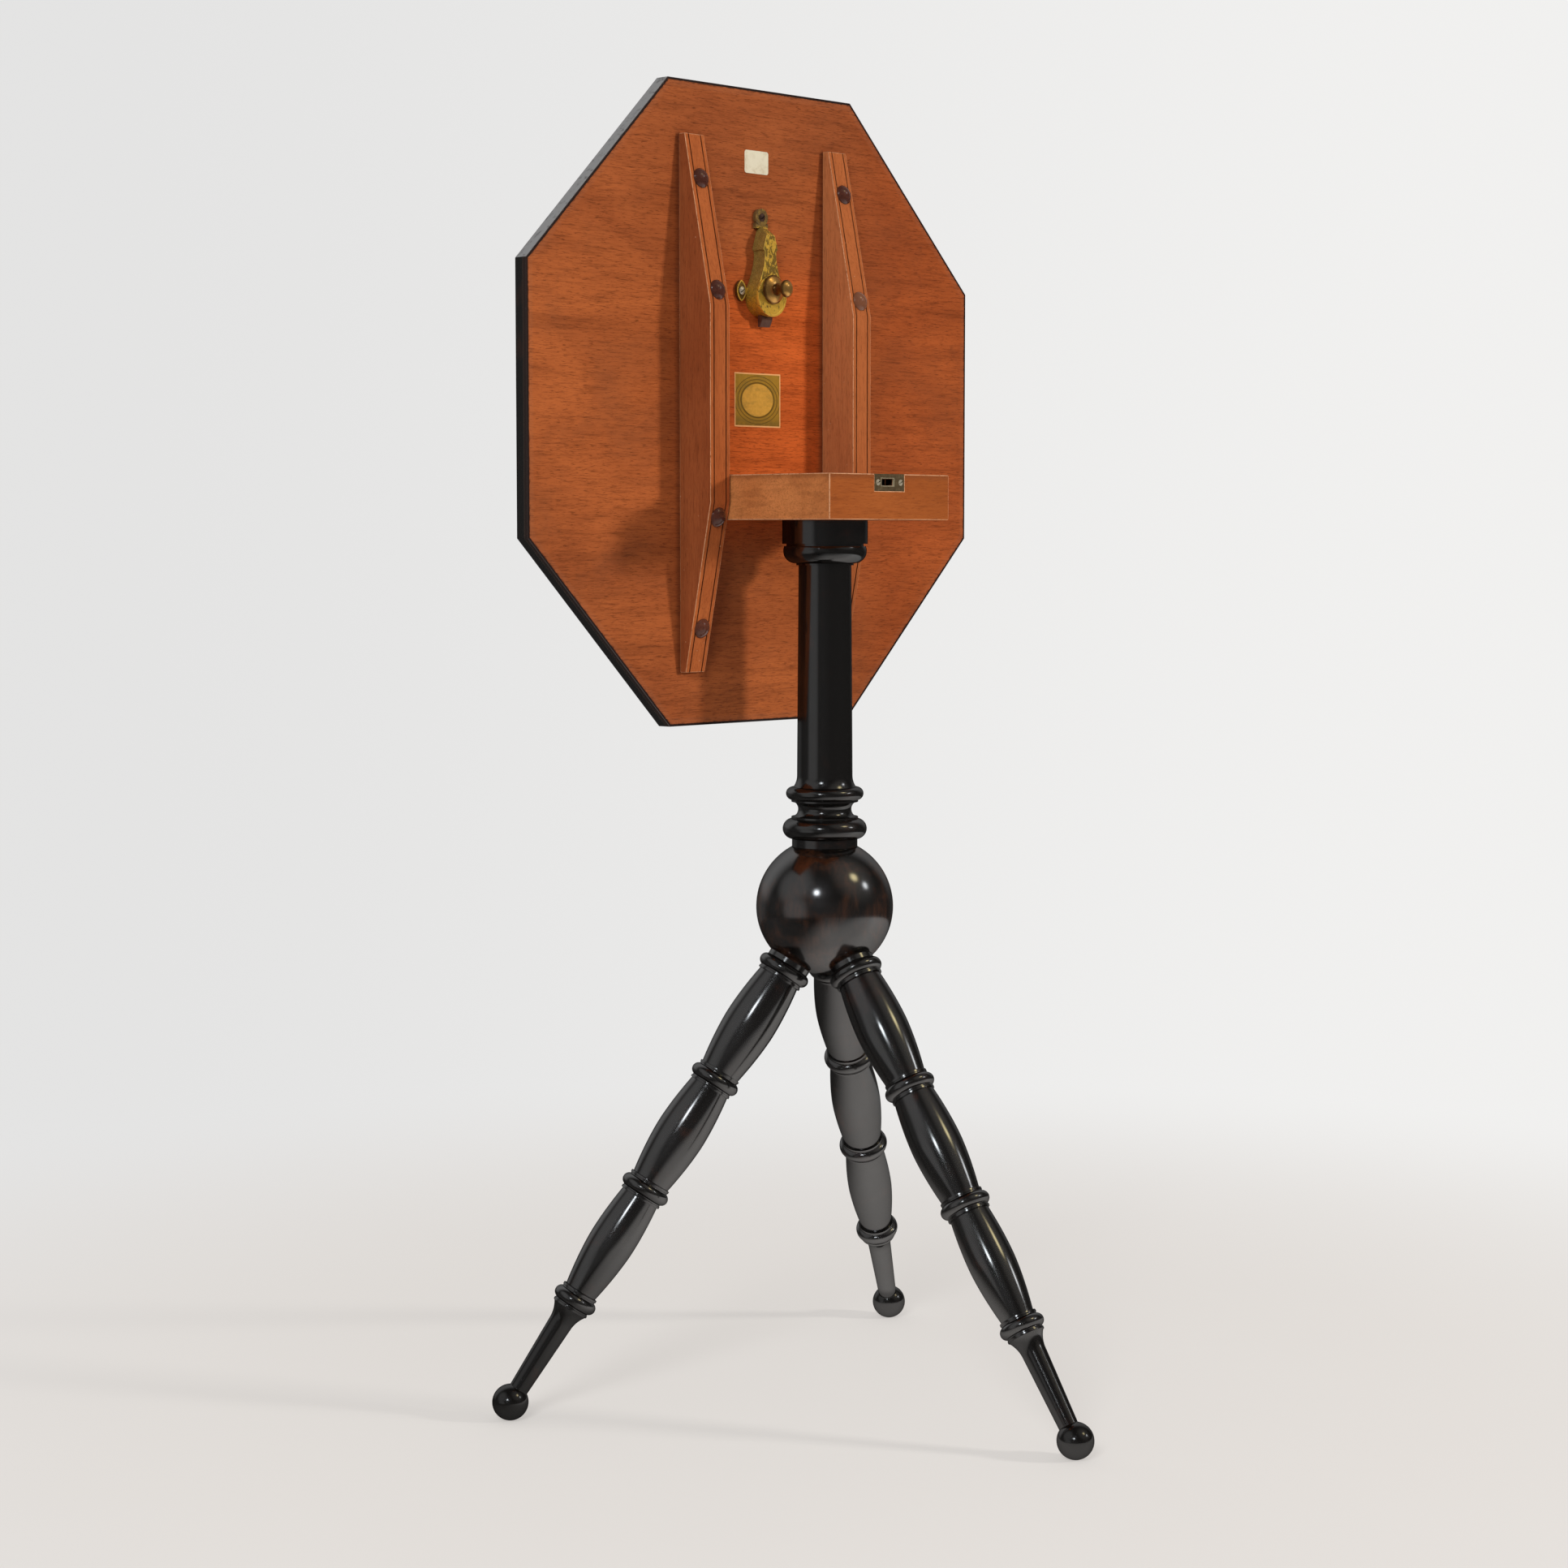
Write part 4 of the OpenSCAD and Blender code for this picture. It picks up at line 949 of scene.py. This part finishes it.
def edge_band():
    """The ebonised edge: an octagonal disc with its middle taken out and its outer edges eased."""
    pick_nothing()
    corner = math.pi / 8
    bpy.ops.mesh.primitive_cylinder_add(vertices=8, radius=TOP_HALF / math.cos(corner) * MM, depth=TOP_T * MM)
    piece = started("edge_band")
    place(piece, moved(0, UNDER_Y + TOP_T / 2, TOP_Z) @ rotated(math.pi / 2, "X") @ rotated(corner, "Z"))
    select_faces(piece, lambda middle, normal: abs(normal.y) > 0.9)
    bpy.ops.mesh.inset(thickness=LIPPING_W * MM)
    bpy.ops.mesh.bridge_edge_loops()
    reach = TOP_HALF - LIPPING_W / 2

    def outer(p):
        x, z = abs(p.x), abs(p.z - TOP_Z)
        return max(x, z, (x + z) * math.sqrt(0.5)) > reach

    select_edges(piece, lambda a, b: outer(a) and outer(b))
    bpy.ops.mesh.bevel(offset=0.45 * MM, segments=3)
    object_mode()
    smooth(piece, 30)
    finish_piece(piece, "top", "edge_ebony", ["edge_lipping"], edge_look)


def bearer(name, side, node):
    """A bearer: a bar sawn to a taper at its ends, grooved inside each arris and bored for its pintle."""
    pick_nothing()
    bpy.ops.mesh.primitive_cube_add(size=MM)
    piece = started(name)
    edit_mode()
    bpy.ops.transform.resize(value=(BEARER_W, BEARER_D, BEARER_LEN))
    middle = side * (BEARER_X + BEARER_W / 2)
    bpy.ops.transform.translate(value=mm(middle, UNDER_Y - BEARER_D / 2, TOP_Z))
    taper = (BEARER_LEN - BEARER_MID) / 2
    for end in (-1, 1):
        select_all()
        sawn = Vector((0, -taper, end * (BEARER_D - BEARER_TIP))).normalized()
        bpy.ops.mesh.bisect(plane_co=mm(0, UNDER_Y - BEARER_D, TOP_Z + end * BEARER_MID / 2), plane_no=sawn,
            use_fill=True, clear_outer=True, threshold=CUT)
    object_mode()
    for look in (bearer_looks[side], bearer_arris_lit_wear):
        piece.data.materials.append(look)
    ease_edges(piece, 0.45, 40, 2, 1)
    inner = BEARER_W / 2 - GROOVE_IN
    edit_mode()
    for x in (-inner, -inner + GROOVE_W, inner - GROOVE_W, inner):
        select_all()
        bpy.ops.mesh.bisect(plane_co=mm(middle + x, 0, 0), plane_no=(1, 0, 0), threshold=CUT)

    def in_groove(centre, normal):
        return normal.y < -0.8 and inner - GROOVE_W < abs(centre.x - middle) < inner

    select_faces(piece, in_groove)
    extrude((0, GROOVE_D * MM, 0))
    object_mode()
    pick_nothing()
    bpy.ops.mesh.primitive_cylinder_add(vertices=64, radius=PINTLE_BORE_R * MM, depth=2 * PINTLE_BORE_L * MM)
    bit = bpy.context.object
    pivot = mm(side * BEARER_X, PINTLE_Y, BLOCK_TOP - PIVOT_IN)
    place(bit, Matrix.Translation(pivot) @ rotated(math.pi / 2, "Y"))
    cut_out(piece, bit)
    smooth(piece, 35)
    finish_piece(piece, "top", "bearer_mahogany", [node])


def buttons():
    """Domed buttons, turned once and set square to the tapered faces."""
    dome = BUTTON_H - 0.6
    r = (BUTTON_R ** 2 + dome ** 2) / (2 * dome)
    crown = arc(0, BUTTON_H - r, r, math.degrees(math.acos(BUTTON_R / r)), 90, 18)
    half = [(0, -1.2), (BUTTON_R - 0.5, -1.2), (BUTTON_R - 0.5, 0.0), (BUTTON_R, 0.25)] + crown
    first = turn("button_turning", half, 40, 0)
    taper_l = (BEARER_LEN - BEARER_MID) / 2
    taper = math.atan((BEARER_D - BEARER_TIP) / taper_l)
    made = []
    for side in (-1, 1):
        for at in BUTTON_PLACES:
            for end in (-1, 1):
                deep = BEARER_TIP + (BEARER_D - BEARER_TIP) * (BEARER_LEN / 2 - at) / taper_l
                one = copy_of(first, "button")
                spot = mm(side * (BEARER_X + BEARER_W / 2), UNDER_Y - deep, TOP_Z + end * at)
                place(one, Matrix.Translation(spot) @ rotated(math.pi / 2 - end * taper, "X"))
                made.append(one)
    bpy.data.objects.remove(first)
    finish_piece(join(made, "button_set"), "top", "button_wood", ["bearer_buttons"], button_look)


edge_band()
bearer("bearer_piece_left", -1, "bearer_left")
bearer("bearer_piece_right", 1, "bearer_right")
buttons()


# Catch

CATCH_PLACE = moved(CATCH_X, UNDER_Y, DRUM_Z) @ rotated(math.pi / 2, "X")


def plate(name, outline, low, high, edge, rim=0.0, sunk=0.0):
    """A flat casting from an outline, with its face edge rounded and, if asked, a raised rim."""
    piece = draw_outline(name, [(x, y, low) for x, y in outline])
    select_all()
    bpy.ops.mesh.edge_face_add()
    select_all()
    extrude((0, 0, (high - low) * MM))
    select_all()
    bpy.ops.mesh.normals_make_consistent(inside=False)
    if rim:
        select_faces(piece, lambda middle, normal: normal.z > 0.9)
        bpy.ops.mesh.inset(thickness=rim * MM)
        extrude((0, 0, -sunk * MM))
    object_mode()
    if edge:
        ease_edges(piece, edge, 50, 3)
    return piece


def cut_way(piece, outline, low, high):
    """Cuts the way of a moving part out of a casting."""
    cut_out(piece, plate("way", outline, low, high, 0))


def straight(half_w, foot, head):
    return [(-half_w, foot), (half_w, foot), (half_w, head), (-half_w, head)]


def mirrored(half):
    """A closed outline from its right half, top to foot."""
    return half + [(-x, y) for x, y in reversed(half) if abs(x) > 1e-6]


def lens(cx, cy, half_w, half_l, count):
    """An outline pointed at its top and its foot."""
    r = (half_l ** 2 + half_w ** 2) / (2 * half_w)
    open_angle = math.degrees(math.asin(half_l / r))
    right = arc(cx + half_w - r, cy, r, -open_angle, open_angle, count)
    left = arc(cx - half_w + r, cy, r, 180 - open_angle, 180 + open_angle, count)
    return right + left[1:-1]


def catch_neck():
    """The neck: shouldered, waisted, flared into the drum and sloped down to its top lug."""
    right = [(2.5, NECK_L), (4.9, 45.6), (7.2, 38.4), (7.9, 36.2), (7.7, 35.2), (6.5, 34.6), (6.2, 32.0),
        (6.3, 29.0), (6.9, 25.4), (7.9, 21.4), (9.4, 16.8), (11.3, 12.6), (12.5, 9.4)]
    neck = plate("catch_neck", mirrored(right), 0, NECK_H, 0)
    pick(neck)
    edit_mode()
    select_all()
    slope = Vector((0, NECK_H - RAMP_LOW, RAMP_L)).normalized()
    bpy.ops.mesh.bisect(plane_co=mm(0, NECK_L - RAMP_L, NECK_H), plane_no=slope, use_fill=True,
        clear_outer=True, threshold=CUT)
    object_mode()
    ease_edges(neck, 0.5, 42, 3)
    return neck


def catch_case():
    drum = plate("catch_drum", arc(0, 0, DRUM_R, 0, 352.5, 47), 0, DRUM_H, 0.6, 1.5, 0.45)
    top_lug = plate("catch_top_lug", arc(0, NECK_L + 7.4, 6.8, -62, 242, 26) + [(-6.8, NECK_L + 3.0),
        (-6.8, NECK_L - 1), (6.8, NECK_L - 1), (6.8, NECK_L + 3.0)], 0, LUG_T, 0.4)
    neck = catch_neck()
    bolt_way, spring_way, knob_way = BOLT_HALF + 0.3, 3.3, 2.8
    knob_slot = arc(0, KNOB_UP + BOLT_TRAVEL, knob_way, 0, 180, 12) + arc(0, KNOB_UP, knob_way, 180, 360, 12)
    for part in (drum, neck):
        cut_way(part, straight(bolt_way, -13.3, BOLT_HEAD + BOLT_TRAVEL + 0.3), -1, BOLT_UP + 4.5)
        cut_way(part, straight(spring_way, 0, SPRING_END), -1, BOLT_UP + spring_way)
        cut_way(part, knob_slot, 0, DRUM_H + 1)
    cut_way(drum, straight(bolt_way, -DRUM_R - 1, 0), BOLT_UP - 2.5, BOLT_UP + 2.5)
    parts = [drum, neck, top_lug]
    for side in (-1, 1):
        lug = plate("catch_side_lug", lens(side * LUG_X, LUG_UP, 5.0, 8.2, 16), 0, LUG_T, 0.3, 1.0, 0.5)
        web = plate("catch_web", [(side * 9, LUG_UP - 2.5), (side * (LUG_X - 3.6), LUG_UP - 2.5),
            (side * (LUG_X - 3.6), LUG_UP + 2.5), (side * 9, LUG_UP + 2.5)][::side], 0, LUG_T - 0.4, 0.3)
        parts += [lug, web]
    case = join(parts, "catch_casting")
    place(case, CATCH_PLACE)
    smooth(case, 35)
    finish_piece(case, "top", "case_brass", ["catch_case"], case_look)


def knob():
    """The knob: a stem from the bolt, a domed flange, a neck and a domed end."""
    stem_r, flange_r, flange_dome, tip_r, tip_dome = 2.5, 11.2, 4, 6.7, 3.2
    low = DRUM_H + 0.4
    end_low = low + 13.8
    flange = (flange_r ** 2 + flange_dome ** 2) / (2 * flange_dome)
    tip = (tip_r ** 2 + tip_dome ** 2) / (2 * tip_dome)
    half = [(0, BOLT_UP), (stem_r, BOLT_UP), (stem_r, low), (flange_r, low)]
    half += arc(0, low + flange_dome + 1 - flange, flange, math.degrees(math.acos(flange_r / flange)), 78, 22)
    half += hollow(low + 4.6, end_low, 4.6, 2.9, 16)
    half += [(tip_r, end_low)]
    half += arc(0, end_low + tip_dome + 1 - tip, tip, math.degrees(math.acos(tip_r / tip)), 90, 16)
    piece = turn("knob_turning", half, 48, 0.25)
    place(piece, CATCH_PLACE @ moved(0, KNOB_UP, 0))
    finish_piece(piece, "bolt", "knob_bronze", ["catch_knob"], knob_look)


def spring():
    """The coil behind the bolt: a ring of wire wound upwards, which shortens as the bolt slides."""
    low = BOLT_HEAD + WIRE_R + 0.05
    pick_nothing()
    bpy.ops.mesh.primitive_circle_add(vertices=10, radius=WIRE_R * MM, rotation=(math.pi / 2, 0, 0))
    piece = started("catch_coil")
    bpy.ops.object.transform_apply(location=False, rotation=True, scale=False)
    edit_mode()
    select_all()
    bpy.ops.transform.translate(value=(COIL_R * MM, 0, 0))
    object_mode()
    winding = piece.modifiers.new("winding", "SCREW")
    winding.axis = "Z"
    winding.screw_offset = (SPRING_END - WIRE_R - 0.05 - low) / COIL_TURNS * MM
    winding.iterations = COIL_TURNS
    winding.steps = winding.render_steps = 24
    apply_modifier(piece, "winding")
    edit_mode()
    select_all()
    bpy.ops.mesh.fill_holes(sides=0)
    select_all()
    bpy.ops.mesh.normals_make_consistent(inside=False)
    object_mode()
    smooth(piece, 50)
    place(piece, CATCH_PLACE @ moved(0, low, BOLT_UP) @ rotated(-math.pi / 2, "X"))
    finish_piece(piece, "top", "iron", ["catch_spring"], iron_look)
    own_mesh(piece)


catch_case()
knob()
spring()


# CAD nodes that keep their own shape

NODE_LOOKS = {
    "tenon_wedge": block_look, "pintle_left": button_look, "pintle_right": button_look,
    "strike_plate": strike_look, "strike_screws": screw_look, "top_board": board_look,
    "show_veneer": show_look, "bearer_screws": iron_look, "catch_back_plate": case_look,
    "catch_screws": screw_look, "paper_label": paper_look,
    "gilt_label": gilt_look, "catch_bolt": iron_look,
}
for node_name, look in NODE_LOOKS.items():
    node_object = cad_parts[node_name]
    for node_slot in node_object.material_slots:
        node_slot.material = look


# Studio

VIEW_FROM = (-1.7443, -1.55725, 0.6665)
VIEW_DOWN, VIEW_TURN, LENS, FRAME_W = 4.526, -46.37, 71.25, 36.0
VIEW_RIGHT, VIEW_NEARER = (0.690, -0.724, 0.0), (-0.745, -0.667, 0.0)
LAMP_AIM = (0.0, 0.06, 0.55)
FLOOR_R, FLOOR_FAR = 1.6, 25
LAMP_WAY = (0.525, -0.810, 0.262)
KEY_WAY = (0.543, -0.702, 0.461)
SIDE_WAY = (0.303, -0.648, 0.699)
FILL_WAY = (-0.777, -0.414, 0.475)


def backdrop(tree, way):
    """Tone of the backdrop in a direction from the view: a little paler towards the right."""
    right = aligned(way, VIEW_RIGHT)
    return mix(step(right, -0.25, 0.25), rgb(0.775, 0.772, 0.768), rgb(0.88, 0.875, 0.865))


def away_from_view(tree):
    away = add(tree, "ShaderNodeVectorMath", {0: object_place(tree), 1: VIEW_FROM}, operation="SUBTRACT")
    return add(tree, "ShaderNodeVectorMath", {0: away.outputs["Vector"]},
        operation="NORMALIZE").outputs["Vector"]


def far_floor():
    """The floor beyond the near part, seen by the camera alone."""
    pick_nothing()
    bpy.ops.mesh.primitive_circle_add(vertices=96, radius=FLOOR_R)
    floor = started("studio_floor_far")
    edit_mode()
    select_all()
    bpy.ops.mesh.extrude_edges_move()
    bpy.ops.transform.resize(value=(FLOOR_FAR, FLOOR_FAR, 1))
    object_mode()
    material, tree = bare_material("floor_far_pale")
    glow = add(tree, "ShaderNodeEmission", {"Color": backdrop(tree, away_from_view(tree)), "Strength": 1.0})
    show(tree, glow)
    floor.data.materials.append(material)
    floor.visible_diffuse = False
    floor.visible_glossy = False
    floor.visible_shadow = False


def studio_floor():
    """A pale floor whose far part takes the colour of the backdrop."""
    pick_nothing()
    bpy.ops.mesh.primitive_circle_add(vertices=96, radius=FLOOR_R, fill_type="NGON")
    floor = started("studio_floor")
    material, tree = bare_material("floor_pale")
    place_now = object_place(tree)
    far = length(place_now)
    fade = step(far, 0.25, 1.45, 0.57, 1.0)
    clouds = noise(place_now, 2.2, 4, 0.6)
    tone = mix(clouds, rgb(0.86, 0.815, 0.77), rgb(0.91, 0.87, 0.825))
    diffuse = add(tree, "ShaderNodeBsdfDiffuse", {"Color": tone})
    warm = mix(step(far, 0.4, 1.5), rgb(0.80, 0.765, 0.735), backdrop(tree, away_from_view(tree)))
    glow = add(tree, "ShaderNodeEmission", {"Color": warm, "Strength": 1.0})
    path = tree.nodes.new("ShaderNodeLightPath").outputs
    seen = most(path["Is Camera Ray"], path["Is Transmission Ray"])
    seen = most(times(fade, seen), path["Is Glossy Ray"])
    # A painted reflection: in gloss the floor glows, dimmer nearer the view and towards the left.
    nearer = aligned(place_now, VIEW_NEARER)
    falling = times(step(nearer, -0.12, 0.25, 1.0, 0.66), step(nearer, 0.25, 1.15, 1.0, 0.3))
    sideways = aligned(place_now, VIEW_RIGHT)
    falling = times(falling, step(sideways, -0.42, 0.05, 0.14, 1.16))
    dimming = times(minus(falling, 1.0), path["Is Glossy Ray"])
    feed(glow, "Strength", plus(dimming, 1.0))
    show(tree, add(tree, "ShaderNodeMixShader", {0: seen, 1: diffuse.outputs[0], 2: glow.outputs[0]}))
    floor.data.materials.append(material)


def studio_world():
    """A pale backdrop all round for the camera; for light, a dim room with a pale backdrop behind the table.

    The lamps themselves are left out of reflections: gloss shows them as three soft bright spots.
    """
    world = bpy.data.worlds.new("studio")
    bpy.context.scene.world = world
    world.use_nodes = True
    tree = world.node_tree
    tree.nodes.clear()
    way = object_place(tree, "Generated")

    def towards(x, y, z):
        return aligned(way, Vector((x, y, z)).normalized())

    path = tree.nodes.new("ShaderNodeLightPath").outputs
    height = xyz(way)[2]
    behind = step(towards(0.72, 0.69, 0.0), 0.05, 0.75)
    walls = mix(behind, rgb(0.17, 0.158, 0.145), rgb(0.86, 0.86, 0.86))
    room = mix(step(height, 0.35, 0.85), walls, rgb(0.36, 0.36, 0.36))
    pale_side = times(step(towards(0.55, 0.83, 0.25), 0.42, 0.90, 0.0, 0.90),
        step(height, -0.05, 0.15, 0.35, 1.0))
    left_wall = most(step(towards(-0.78, 0.30, 0.55), 0.80, 0.97, 0.0, 0.32),
        step(towards(-0.97, 0.15, -0.03), 0.88, 0.98, 0.0, 0.32))
    level = step(size(height), 0.12, 0.30, 1.0, 0.0)
    soft_side = times(step(towards(-0.97, 0.15, -0.03), 0.15, 0.80, 0.02, 0.05), level)
    left_wall = most(left_wall, soft_side)
    mirrored_room = mix(most(pale_side, left_wall), rgb(0.045, 0.043, 0.042), rgb(1, 1, 1))
    room = mix(path["Is Glossy Ray"], room, mirrored_room)
    light = add(tree, "ShaderNodeBackground", {"Color": room, "Strength": 1.0})
    for aim, spread, tint, strength in ((KEY_WAY, 0.10, rgb(0.95, 0.97, 1.0), 7.0),
                                         (SIDE_WAY, 0.13, rgb(1.0, 0.84, 0.46), 5.5),
                                         (SIDE_WAY, 0.75, rgb(1.0, 0.95, 0.88), 0.20),
                                         (FILL_WAY, 0.09, rgb(0.90, 0.95, 1.0), 18.0),
                                         (FILL_WAY, 0.55, rgb(0.92, 0.96, 1.0), 0.07)):
        spot = step(towards(*aim), math.cos(spread), 1.0)
        seen = times(times(spot, strength), path["Is Glossy Ray"])
        glint = add(tree, "ShaderNodeBackground", {"Color": tint, "Strength": seen})
        light = add(tree, "ShaderNodeAddShader", {0: light.outputs[0], 1: glint.outputs[0]})
    pale = add(tree, "ShaderNodeBackground", {"Color": backdrop(tree, way), "Strength": 1.0})
    blend = add(tree, "ShaderNodeMixShader", {0: path["Is Camera Ray"], 1: light.outputs[0],
        2: pale.outputs[0]})
    show(tree, blend, "World")


def softbox(name, way, distance, width, power, tint):
    data = bpy.data.lights.new(name, "AREA")
    data.shape = "SQUARE"
    data.size = width
    data.energy = power
    data.color = tint
    lamp = bpy.data.objects.new(name, data)
    bpy.context.collection.objects.link(lamp)
    aim = Vector(LAMP_AIM)
    lamp.location = aim + Vector(way).normalized() * distance
    lamp.rotation_euler = (lamp.location - aim).to_track_quat("Z", "Y").to_euler()
    lamp.visible_camera = False
    lamp.visible_glossy = False


def camera():
    """The photograph's view: a lens of 71 mm on a 36 mm frame, looking slightly down."""
    data = bpy.data.cameras.new("view")
    data.sensor_width = FRAME_W
    data.lens = LENS
    data.dof.use_dof = False
    data.clip_end = 60.0
    seen = bpy.data.objects.new("view", data)
    bpy.context.collection.objects.link(seen)
    seen.location = VIEW_FROM
    seen.rotation_euler = (math.radians(90 - VIEW_DOWN), 0.0, math.radians(VIEW_TURN))
    bpy.context.scene.camera = seen


studio_floor()
far_floor()
studio_world()
softbox("softbox_right", LAMP_WAY, 4.5, 0.5, 112.0, (1.0, 0.985, 0.96))
softbox("softbox_left", FILL_WAY, 4.0, 1.3, 76.0, (0.96, 0.985, 1.0))
camera()
bpy.context.scene.view_settings.view_transform = "Standard"

pick_nothing()
